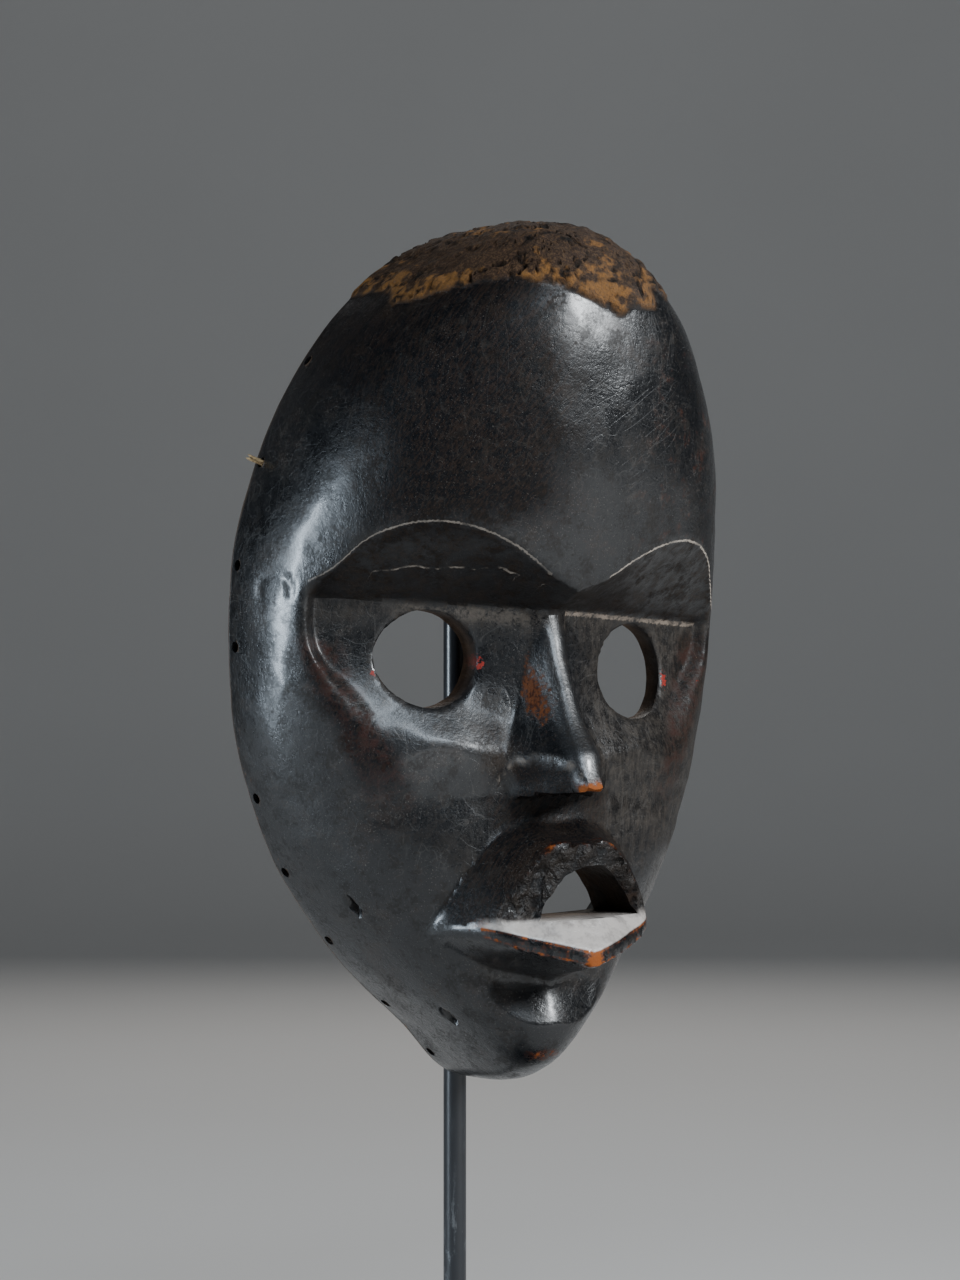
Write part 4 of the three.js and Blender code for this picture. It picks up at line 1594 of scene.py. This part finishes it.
class Patina(Shader):
    """The mask's surface, laid on a layer at a time."""

    def __init__(self, tones: PatinaFinish) -> None:
        """Starts with the black ground and the noises that all layers share.

        Args:
            tones: the finish's colours.
        """
        super().__init__("dark_patina")
        self.tones = tones
        self.colour: Value = tones.black
        self.laid: dict[str, Socket] = {}
        self.cloud, self.mottle = self.noise(15, 5), self.noise(3.2, 5)
        self.fine, self.speck = self.noise(0.9, 3), self.noise(0.42, 2)
        self.streak = self.noise(0.9, 3, 0.6, self.turned(UNTURNED, (1, 1, 5)))

    def lay(self, name: str, share: Socket, colour: Value, strength: Value = 1) -> None:
        """Lays a colour over what is there.

        Args:
            name: the layer's name, under which the gloss finds its share.
            share: where it lies.
            colour: its colour.
            strength: how much of it covers.
        """
        self.laid[name] = share
        cover = share if strength == 1 else self.times(share, strength)
        self.colour = self.blend(cover, self.colour, colour)

    def patches(self, fine: float, start: float, end: float, low: float = 0, high: float = 1) -> Socket:
        """Cloudy patches with broken edges.

        Args:
            fine: how much fine noise breaks them up.
            start, end: where the step between gap and patch begins and ends.
            low, high: the result in the gaps and in the patches.

        Returns:
            The patches' share.
        """
        return self.step(self.sum(self.mottle, self.times(self.fine, fine)), start, end, low, high)

    def lay_all(self) -> None:
        """Lays every layer in order, and then sets gloss and relief."""
        self.lay_ground()
        self.lay_dust()
        self.lay_brows()
        self.lay_wear()
        self.lay_lips()
        self.lay_crust()
        self.lay_hollow()
        self.set_gloss()
        self.set_relief()

    def lay_ground(self) -> None:
        """The black patina, its brown clouds, flecks, grime and scratches."""
        tones = self.tones
        browned = self.sum(self.cloud, self.swing(self.fine, 0.5), self.swing(self.mottle, 0.5))
        self.lay("brown", self.step(browned, 0.50, 0.80), tones.brown)
        flecks = self.step(self.sum(self.speck, self.times(self.cloud, 0.25)), 0.76, 0.86)
        self.lay("flecks", flecks, tones.fleck, 0.8)
        rust = self.sum(self.mottle, self.times(self.cloud, 0.5), self.times(self.fine, 0.3))
        rust = self.times(self.stored("reddish"), self.step(rust, 0.98, 1.14))
        self.lay("rust", rust, tones.worn_dark, 0.6)
        scratch = self.clamp(self.sum(*(self.scratches(way, 2.2 + 0.6 * k, 0.018, 26 - 3 * k)
                                        for k, way in enumerate(tones.scratch_ways))))
        grime = self.step(self.sum(self.noise(6.5, 6, 0.7), self.swing(self.fine, 0.45)), 0.50, 0.64)
        self.lay("grime", grime, tones.grime, 0.75)
        self.lay("scratch", scratch, tones.scratch, self.step(self.mottle, 0.40, 0.65, 0, 0.15))

    def lay_dust(self) -> None:
        """Dust, painted light on a band under the near crease, the reddish valleys, the dull places' bare
        grain, and the rim's worn edge.
        """
        tones = self.tones
        # Dust is kept off the slopes under the brows, where shade is painted.
        off_brow = self.sum(1, self.times(self.stored("brow_shade"), -1))
        patchy = self.sum(self.mottle, self.streak, self.times(self.speck, 0.5))
        dust = self.times(self.stored("dust"), self.step(patchy, 1.0, 1.6, 0.1, 0.6), off_brow)
        self.lay("dust", dust, tones.dust)
        # Painted light under the near crease and pale dust over the near wing, broken up by noise.
        broken_pale = self.step(self.sum(self.mottle, self.fine, self.times(self.speck, 0.5)), 0.95, 1.45)
        self.lay("dust_and_painted_light", self.times(self.stored("dust_and_painted_light"), broken_pale), tones.dust_and_painted_light)
        sunk = self.times(self.stored("valley"), self.patches(0.5, 0.62, 0.95))
        self.lay("valley", sunk, tones.valley, 0.8)
        along = self.noise(0.6, 4, 0.7, self.turned((0, 0.7, 0), (1, 1, 7)))
        self.lay("bare", self.times(self.stored("dull"), self.step(along, 0.45, 0.62)), tones.bare, 0.7)
        self.lay("rim", self.times(self.stored("rim_edge"), self.patches(0.7, 0.98, 1.12)), tones.rim)

    def lay_brows(self) -> None:
        """Painted shade on the slopes under the brows, and the pale lines along brows, crease and drying
        crack.
        """
        tones = self.tones
        # Painted shade: near black over the slopes under the brows, covering flecks, dust and scratches.
        deep = self.blend(self.step(self.sum(self.fine, self.mottle), 0.9, 1.2), tones.deep, tones.deep_brown)
        under = self.times(self.stored("brow_shade"), self.step(self.mottle, 0.35, 0.65, 0.5, 1))
        self.lay("under", under, deep, 0.95)
        crease = self.line(self.sum(self.stored("crease_line"), 0.5, self.swing(self.fine, 1.5)), 0.8)
        self.lay("crease", self.times(crease, self.patches(0.7, 0.6, 0.95)), tones.crease, 0.55)
        brow = self.line(self.sum(self.stored("brow_line"), self.swing(self.fine, 0.8)), 0.30)
        gaps = self.step(self.sum(self.mottle, self.times(self.cloud, 0.8)), 0.62, 1.0, 0.15, 0.75)
        paler = self.sum(self.times(self.stored("far_side"), 0.55), 0.45)
        self.lay("brow", self.times(brow, gaps), tones.pale, paler)
        crack = self.line(self.sum(self.stored("crack_line"), self.swing(self.mottle, 1.5)), 0.3)
        self.lay("crack", self.times(crack, self.step(self.mottle, 0.40, 0.6)), tones.pale, 0.35)

    def lay_wear(self) -> None:
        """The rubbed side of the nose, the red paint by the eyes and the wood worn bare."""
        tones = self.tones
        rub_edge = self.sum(self.times(self.mottle, 1.6), self.times(self.fine, 0.8), -1.2)
        rub_grain = self.step(self.sum(self.fine, self.streak), 0.85, 1.1)
        rub_tone = self.blend(rub_grain, tones.rub_dark, tones.rub)
        self.lay("rub", self.step(self.ragged(self.stored("rub"), rub_edge), 0.25, 0.80), rub_tone, 0.95)
        red_edge = self.sum(self.times(self.fine, 2.2), self.times(self.mottle, 1.2), -1.7)
        self.lay("red", self.step(self.ragged(self.stored("red"), red_edge), 0.5, 0.68), tones.red, 0.9)
        lip_line, lip_foot = self.stored("lip_line"), self.stored("lip_foot")
        lip_edges = self.sum(self.line(lip_line, 0.9), self.line(lip_foot, 0.9))
        lip_band = self.times(self.stored("lip_band"), self.step(lip_line, 1.0, -0.2),
                              self.step(lip_foot, -0.6, 0.2))
        lip_worn = self.times(lip_band, self.sum(0.15, self.times(lip_edges, 0.28)))
        worn_edge = self.sum(self.times(self.mottle, 1.3), self.times(self.fine, 0.9), -1.1)
        worn = self.ragged(self.sum(self.stored("worn"), lip_worn), worn_edge)
        self.lay("worn_dark", self.step(worn, 0.2, 0.5), tones.worn_dark)
        self.lay("worn", self.step(worn, 0.42, 0.75), tones.worn)

    def lay_lips(self) -> None:
        """The broken wood of the upper lip, and the lower lip's shelf painted pale, partly as worn wood and
        partly as a painted highlight.
        """
        chips = self.times(self.stored("chips"), self.step(self.mottle, 0.35, 0.65))
        self.lay("chips", chips, self.tones.deep_brown)
        # Painted highlight and worn pale wood on the lower lip's shelf.
        shelf = self.times(self.stored("shelf"), self.step(self.stored("lip_line"), -0.1, 0.5))
        self.lay("shelf", self.times(shelf, self.patches(0.5, 0.5, 0.85, 0.65, 1)), self.tones.shelf)

    def lay_crust(self) -> None:
        """The caked crust of the crown, with its ochre lower edge and its cracks."""
        tones = self.tones
        low = self.step(self.stored("crust_depth"), 9, 0, 0, 0.26)
        ochre = self.step(self.sum(self.mottle, self.swing(self.cloud, 1.4), low), 0.60, 0.78)
        caked = self.blend(ochre, tones.crust_dark, tones.ochre)
        light = self.step(self.sum(self.fine, self.speck), 0.9, 1.2, 0, 0.6)
        caked = self.blend(light, caked, tones.crust_light)
        caked = self.blend(self.clamp(self.stored("cracks")), caked, tones.crust_crack)
        self.lay("crust", self.stored("crust"), caked)

    def lay_hollow(self) -> None:
        """The walls of the openings, and the plain wood of the hollow."""
        tones = self.tones
        bore = self.blend(self.step(self.mottle, 0.45, 0.7), tones.deep, tones.bore)
        self.lay("bore", self.stored("bore"), bore)
        wood = self.blend(self.step(self.mottle, 0.35, 0.7), tones.inside, tones.inside_dark)
        along = self.step(self.noise(9, 3, 0.5, self.turned(UNTURNED, (1, 1, 9))), 0.4, 0.65)
        self.lay("behind", self.stored("behind"), self.blend(along, wood, tones.inside_light))

    def set_gloss(self) -> None:
        """Sets colour, roughness, specular level and coat from the layers' shares."""
        laid = self.laid
        rough = self.sum(self.tones.gloss, self.swing(self.cloud, 0.45), self.swing(self.mottle, 0.35),
                         self.times(self.sum(self.fine, self.speck, -1), 0.22),
                         *(self.times(laid[name], amount) for name, amount in
                           (("scratch", 0.18), ("dust", 0.25), ("flecks", 0.16), ("grime", 0.14))))
        sheen, dull = self.stored("sheen"), self.stored("dull")
        dull_rough = self.sum(0.5, self.times(self.sum(self.mottle, self.fine, -1), 0.7))
        worn = self.clamp(self.sum(laid["rub"], laid["red"], laid["worn"]))
        for share, value in ((self.times(sheen, 0.8), 0.42), (self.times(dull, 0.85), dull_rough),
                             (worn, 0.6), (laid["under"], 0.55), (laid["shelf"], 0.3), (laid["chips"], 0.42),
                             (laid["bore"], 0.7), (laid["crust"], 0.93), (laid["behind"], 0.8)):
            rough = self.mixed(share, rough, value)
        plain = self.step(self.sum(laid["crust"], laid["behind"], laid["bore"], self.stored("chips"),
                                   self.stored("dust")), 0.7, 0.1)
        flat = self.clamp(self.sum(dull, self.times(laid["under"], 0.7), laid["bore"], laid["rub"],
                                   laid["worn"], self.times(laid["grime"], 0.4)))
        specular = self.mixed(flat, self.mixed(sheen, 0.40, 1.0), 0.12)
        self.set(Base_Color=self.colour, Roughness=rough, Specular_IOR_Level=specular)
        self.set(Coat_Weight=self.times(plain, self.mixed(flat, 0.55, 0.0)), Coat_Roughness=0.2)

    def set_relief(self) -> None:
        """Sets the fine relief of the patina, and of crust, hollow and broken wood."""
        laid = self.laid
        self.bump(self.sum(self.noise(1.6, 4), self.times(self.fine, 0.6), self.times(self.speck, 0.5),
                           self.times(laid["scratch"], -0.2)), 0.26, 0.5)
        coarse = self.sum(laid["crust"], self.times(laid["behind"], 0.4), self.times(laid["chips"], 0.5))
        lumps = self.sum(self.noise(0.7, 5, 0.7), self.times(self.mottle, 2))
        self.bump(self.times(lumps, self.clamp(coarse)), 0.8, 0.9)


@dataclass(frozen=True)
class PaintedSteelFinish:
    """Blue-black painted steel, scuffed bare here and there."""

    paint: Colour = (0.012, 0.014, 0.018)
    scuff: Colour = (0.20, 0.21, 0.22)
    roughness: float = 0.34
    scuffed_below: float = 0.075
    scuffed_blur: float = 0.02

    def material(self) -> bpy.types.Material:
        """Builds the finish.

        Returns:
            The material.
        """
        s = Shader("painted_steel")
        streak, fine = s.noise(2.4, 5, 0.65, s.turned(UNTURNED, (1, 1, 5))), s.noise(0.5, 3)
        split = s.tree.nodes.new("ShaderNodeSeparateXYZ")
        s.link(s.place, split.inputs[0])
        start, end = self.scuffed_below + self.scuffed_blur, self.scuffed_below - self.scuffed_blur
        low = s.step(split.outputs["Z"], start, end)
        scuffs = s.step(s.sum(streak, s.times(fine, 0.2)), 0.66, 0.80)
        scuffs = s.times(scuffs, s.sum(s.times(low, 0.75), 0.08))
        s.set(Base_Color=s.blend(scuffs, self.paint, self.scuff), Metallic=s.mixed(scuffs, 0.0, 0.6))
        s.set(Roughness=s.sum(self.roughness, s.swing(streak, 0.2), s.times(scuffs, 0.2)))
        s.set(Coat_Weight=0.3, Coat_Roughness=0.2)
        s.bump(s.sum(s.noise(0.8, 2), s.times(scuffs, -0.6)), 0.06, 0.5)
        return s.material


@dataclass(frozen=True)
class FeltFinish:
    """Dark pressed felt."""

    dark: Colour = (0.020, 0.018, 0.016)
    light: Colour = (0.060, 0.054, 0.048)

    def material(self) -> bpy.types.Material:
        """Builds the finish.

        Returns:
            The material.
        """
        s = Shader("felt")
        fuzz = s.noise(0.5, 5, 0.7)
        s.set(Base_Color=s.blend(s.step(fuzz, 0.4, 0.65), self.dark, self.light), Roughness=0.95,
              Sheen_Weight=0.3)
        s.bump(fuzz, 0.3, 0.8)
        return s.material


@dataclass(frozen=True)
class FibreFinish:
    """Dry straw-coloured fibre."""

    light: Colour = (0.52, 0.38, 0.20)
    dark: Colour = (0.20, 0.12, 0.055)

    def material(self) -> bpy.types.Material:
        """Builds the finish.

        Returns:
            The material.
        """
        s = Shader("dry_fibre")
        tone = s.noise(0.8, 3)
        s.set(Base_Color=s.blend(s.step(tone, 0.35, 0.65), self.light, self.dark), Roughness=0.8)
        s.bump(s.noise(0.3, 2), 0.1, 0.6)
        return s.material


# The stand and the peg


@dataclass
class Stand:
    """The steel rod on its foot plate, with the padded arm that the mask hangs on."""

    rod_radius: float = 0.0032
    rod_y: float = 0.026
    rod_foot: float = 0.0043
    rod_sides: int = 48
    bend_radius: float = 0.014
    bend_steps: int = 18
    arm_z: float = 0.31624
    arm_y: float = -0.00866
    arm_radius: float = 0.0024
    arm_half: float = 0.03495
    arm_sides: int = 40
    arm_bevel: float = 0.0003
    plate: Triple = (0.130, 0.100, 0.012)
    plate_bevel: float = 0.0009
    seat_radius: float = 0.0035
    seat_floor: float = 0.004
    seat_depth: float = 0.02
    felt_grid: float = 0.0004
    felt_lumps: float = 0.10
    felt_lump_size: float = 1.6
    felt_sunk: float = 0.12

    def rod(self) -> bpy.types.Object:
        """The round rod, bent forward at its top to carry the arm.

        Returns:
            The rod.
        """
        bpy.ops.mesh.primitive_circle_add(vertices=self.rod_sides, radius=self.rod_radius, fill_type="NGON",
                                          location=(0, self.rod_y, self.rod_foot))
        obj = bpy.context.object
        rise = self.arm_z - self.bend_radius - self.rod_foot
        end = self.rod_y - self.bend_radius - (self.arm_y + self.arm_radius)
        centre = (0, self.rod_y - self.bend_radius, self.arm_z - self.bend_radius)
        settle(obj)

        def extrude(way: Triple) -> None:
            """Extrudes the selected face along a way."""
            bpy.ops.mesh.extrude_region_move(TRANSFORM_OT_translate={"value": way})

        def bend() -> None:
            """Spins the selected face forward."""
            bpy.ops.mesh.spin(steps=self.bend_steps, angle=math.pi / 2, center=centre, axis=(1, 0, 0))

        edit(obj, lambda: extrude((0, 0, rise)), bend, lambda: extrude((0, -end, 0)), select="EDGE")
        edit(obj, lambda: bpy.ops.mesh.remove_doubles(threshold=1e-7), face_outwards, select="EDGE")
        smooth_faces(obj, 40)
        return obj

    def arm(self) -> bpy.types.Object:
        """The short bar across the rod's end.

        Returns:
            The bar.
        """
        bpy.ops.mesh.primitive_cylinder_add(vertices=self.arm_sides, radius=self.arm_radius,
                                            depth=2 * self.arm_half, location=(0, self.arm_y, self.arm_z),
                                            rotation=(0, math.pi / 2, 0))
        obj = bpy.context.object
        settle(obj)
        bevel = obj.modifiers.new("edges", "BEVEL")
        bevel.width, bevel.segments = self.arm_bevel, 2
        apply_all(obj)
        smooth_faces(obj, 40)
        return obj

    def pad(self, node: str, side: int) -> bpy.types.Object:
        """A felt pad on one end of the arm, pressed to the hollow's wall.

        Args:
            node: the solid that it is shaped after.
            side: -1 for the viewer's left, 1 for the right.

        Returns:
            The pad.
        """
        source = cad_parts[node]
        obj = bpy.data.objects.new("felt", source.data.copy())
        bpy.context.collection.objects.link(obj)
        obj.matrix_world = source.matrix_world
        settle(obj)
        remesh = obj.modifiers.new("even", "REMESH")
        remesh.mode, remesh.voxel_size = "VOXEL", self.felt_grid
        soft = obj.modifiers.new("soft", "SMOOTH")
        soft.factor, soft.iterations = 0.5, 6
        apply_all(obj)
        points = coordinates(obj)
        normals = np.empty(len(points) * 3)
        obj.data.vertices.foreach_get("normal", normals)
        lumps = self.felt_lumps * grain(points / MM, self.felt_lump_size, 60 + side) - self.felt_sunk
        set_coordinates(obj, points + normals.reshape(-1, 3) * lumps[:, None] * MM)
        smooth_faces(obj, 60)
        return obj

    def base(self) -> bpy.types.Object:
        """The foot plate, with the rod's seat bored into it.

        Returns:
            The plate.
        """
        bpy.ops.mesh.primitive_cube_add(size=1, location=(0, 0, self.plate[2] / 2))
        obj = bpy.context.object
        obj.scale = self.plate
        settle(obj)
        bevel = obj.modifiers.new("edges", "BEVEL")
        bevel.width, bevel.segments = self.plate_bevel, 3
        bpy.ops.mesh.primitive_cylinder_add(vertices=self.rod_sides, radius=self.seat_radius,
                                            depth=self.seat_depth,
                                            location=(0, self.rod_y, self.seat_floor + self.seat_depth / 2))
        cut_away(obj, bpy.context.object, "EXACT")
        smooth_faces(obj, 30)
        return obj


@dataclass
class Peg:
    """A plug of dry fibre left in one of the rim's holes."""

    height: float = 169
    length: float = 13
    sticks_out: float = 5
    radius: float = 1.15
    strands: int = 7
    strand_radius: float = 0.38
    strand_place: float = 0.62
    twist: float = 1.6
    shortest: float = 1.5
    seed: int = 7

    def strand(self, mask: MaskPiece, k: int, dice: np.random.Generator) -> bpy.types.Object:
        """One twisted strand, frayed at its outer end.

        Args:
            mask: the mask, for the hole's place.
            k: the strand's number; the first runs in the middle.
            dice: random numbers.

        Returns:
            The strand.
        """
        place, out = mask.rim_place(self.height, -1)
        bpy.ops.mesh.primitive_grid_add(x_subdivisions=8, y_subdivisions=18)
        obj = bpy.context.object
        grid = coordinates(obj)
        turn = np.pi * (grid[:, 0] + 1)
        share = (grid[:, 1] + 1) / 2
        angle = 2 * np.pi * k / self.strands + self.twist * share
        spread = 0.62 + 0.38 * smooth(0.72, 1, share) * dice.uniform(-0.2, 1)
        middle = np.where(k, self.radius * spread * self.strand_place, 0)
        reach = self.sticks_out - dice.uniform(0, self.shortest)
        along = mix(self.sticks_out - self.length, reach, share)
        thick = self.strand_radius * (1 - 0.55 * smooth(0.8, 1, share)) * (1 + 0.12 * np.sin(9 * share + k))
        thick = thick * np.where(np.abs(share - 0.5) > 0.499, 0.02, 1)
        side = middle * np.cos(angle) + thick * np.cos(turn)
        depth = middle * np.sin(angle) + thick * np.sin(turn)
        x = place[0] + out[0] * along - out[1] * side
        z = place[1] + out[1] * along + out[0] * side
        set_coordinates(obj, mask.to_world(x, mask.hole_inset + depth, z))
        edit(obj, lambda: bpy.ops.mesh.remove_doubles(threshold=2e-5), face_outwards)
        return obj

    def build(self, mask: MaskPiece) -> bpy.types.Object:
        """Makes the plug from a few strands.

        Args:
            mask: the mask, for the hole's place.

        Returns:
            The plug.
        """
        dice = np.random.default_rng(self.seed)
        obj = joined([self.strand(mask, k, dice) for k in range(self.strands)])
        smooth_faces(obj, 60)
        return obj


# The studio


@dataclass(frozen=True)
class Lamp:
    """One soft light: the way it comes from, how far off, its size, power and colour."""

    name: str
    way: Triple
    distance: float
    size: Pair
    power: float
    colour: Colour


@dataclass
class Studio:
    """Pale floor, soft lights and the camera at the photograph's angle."""

    target: Triple = (0.0, -0.01, 0.236)
    lamps: tuple[Lamp, ...] = (
        Lamp("key", (0.42, -0.80, 0.43), 1.4, (0.26, 0.36), 24, (0.93, 0.97, 1.0)),
        Lamp("strip", (-0.98, 0.19, 0.03), 1.0, (0.09, 0.42), 6.5, (0.74, 0.87, 1.0)),
        Lamp("fill", (-0.16, -0.75, 0.60), 1.5, (0.95, 0.30), 10, (0.78, 0.89, 1.0)),
        Lamp("back", (0.45, 0.80, 0.42), 1.6, (0.80, 0.80), 4, (1.0, 0.97, 0.93)),
    )
    floor_colour: Colour = (0.66, 0.64, 0.62)
    floor_shade: Colour = (0.60, 0.58, 0.56)
    floor_flat: float = 5.0
    floor_bend: float = 1.2
    floor_length: float = 9
    floor_before: float = 3
    floor_half_width: float = 5
    surround_colour: Colour = (0.9, 0.95, 1)
    surround_strength: float = 0.035
    camera_place: Triple = (-0.5454, -0.93276, 0.236)
    camera_turn: float = -30
    lens: float = 110.76
    sensor: float = 36

    def floor(self) -> bpy.types.Object:
        """A floor that curves up into a backdrop, square to the camera.

        Returns:
            The floor.
        """
        bpy.ops.mesh.primitive_grid_add(x_subdivisions=2, y_subdivisions=48)
        obj = bpy.context.object
        grid = coordinates(obj)
        way = (grid[:, 1] + 1) / 2 * self.floor_length
        angle = np.clip((way - self.floor_flat) / self.floor_bend, 0, np.pi / 2)
        past = np.maximum(way - self.floor_flat - self.floor_bend * np.pi / 2, 0)
        along = np.minimum(way, self.floor_flat) + self.floor_bend * np.sin(angle) - self.floor_before
        up = self.floor_bend * (1 - np.cos(angle)) + past
        x = grid[:, 0] * self.floor_half_width
        turn = math.radians(-self.camera_turn)
        cos, sin = math.cos(turn), math.sin(turn)
        set_coordinates(obj, np.column_stack((x * cos + along * sin, -x * sin + along * cos, up)))
        smooth_faces(obj, 60)
        s = Shader("studio_floor")
        tone = s.step(s.noise(400, 2), 0.3, 0.7, 0, 0.3)
        s.set(Base_Color=s.blend(tone, self.floor_colour, self.floor_shade), Roughness=0.8)
        obj.data.materials.append(s.material)
        obj.name = "studio_floor"
        return obj

    def lamp(self, lamp: Lamp) -> bpy.types.Object:
        """One area light, turned to the mask.

        Args:
            lamp: which one.

        Returns:
            The light.
        """
        place = np.array(self.target) + np.array(lamp.way) / np.linalg.norm(lamp.way) * lamp.distance
        bpy.ops.object.light_add(type="AREA", location=place)
        obj = bpy.context.object
        obj.name = lamp.name
        obj.data.shape = "ELLIPSE"
        obj.data.size, obj.data.size_y = lamp.size
        obj.data.energy, obj.data.color = lamp.power, lamp.colour
        way = Vector(self.target) - Vector(place)
        obj.rotation_euler = way.to_track_quat("-Z", "Y").to_euler()
        return obj

    def camera(self) -> bpy.types.Object:
        """The camera, level with the middle of the mask.

        Returns:
            The camera.
        """
        turn = (math.pi / 2, 0, math.radians(self.camera_turn))
        bpy.ops.object.camera_add(location=self.camera_place, rotation=turn)
        obj = bpy.context.object
        obj.data.lens, obj.data.sensor_width = self.lens, self.sensor
        obj.data.clip_start, obj.data.clip_end = 0.05, 60
        bpy.context.scene.camera = obj
        return obj

    def surround(self) -> None:
        """Sets a dim even surround."""
        world = bpy.data.worlds.new("studio")
        world.use_nodes = True
        background = next(node for node in world.node_tree.nodes if node.type == "BACKGROUND")
        background.inputs["Color"].default_value = (*self.surround_colour, 1)
        background.inputs["Strength"].default_value = self.surround_strength
        bpy.context.scene.world = world

    def build(self) -> None:
        """Sets everything up round the object."""
        self.floor()
        for lamp in self.lamps:
            self.lamp(lamp)
        self.camera()
        self.surround()


# The whole


@dataclass
class Build:
    """Makes every piece and ties it to its solid."""

    finishes: dict[Slot, bpy.types.Material] = field(default_factory=dict)

    def finish(self, obj: bpy.types.Object, name: str, node: str, slot: Slot) -> None:
        """Names a piece, dresses it and puts it in its solid's place.

        Args:
            obj: the piece.
            name: its name.
            node: the solid that it stands for.
            slot: its material slot.
        """
        obj.name = name
        obj.data.materials.clear()
        obj.data.materials.append(self.finishes[slot])
        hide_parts(node)
        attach(obj, "root")
        LOG.info("%s stands for %s: %d faces", name, node, len(obj.data.polygons))

    def slot_of(self, node: str) -> Slot:
        """The material slot of a solid."""
        named = {"mask": Slot.WOOD, "rim_peg": Slot.FIBRE, "pad_left": Slot.FELT, "pad_right": Slot.FELT}
        return named.get(node, Slot.STEEL)

    def run(self) -> None:
        """Builds finishes, pieces and studio in order."""
        self.finishes = {Slot.WOOD: PatinaFinish().material(), Slot.STEEL: PaintedSteelFinish().material(),
                         Slot.FELT: FeltFinish().material(), Slot.FIBRE: FibreFinish().material()}
        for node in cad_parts.values():
            node.data.materials.clear()
            node.data.materials.append(self.finishes[self.slot_of(node.name)])
        mask = MaskPiece(Carving())
        self.finish(mask.build(), "carved_mask", "mask", Slot.WOOD)
        self.finish(Peg().build(mask), "fibre_peg", "rim_peg", Slot.FIBRE)
        stand = Stand()
        self.finish(stand.rod(), "steel_rod", "rod", Slot.STEEL)
        self.finish(stand.arm(), "steel_arm", "cross_arm", Slot.STEEL)
        self.finish(stand.base(), "steel_foot", "base_plate", Slot.STEEL)
        for node, side in (("pad_left", -1), ("pad_right", 1)):
            self.finish(stand.pad(node, side), "felt_" + node, node, Slot.FELT)
        Studio().build()


def write_sizes() -> None:
    """Brings the scene up to date after building."""
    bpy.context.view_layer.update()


def main() -> None:
    """Builds the whole scene."""
    logging.basicConfig(level=logging.INFO)
    Build().run()
    write_sizes()


if __name__ == "__main__":
    main()
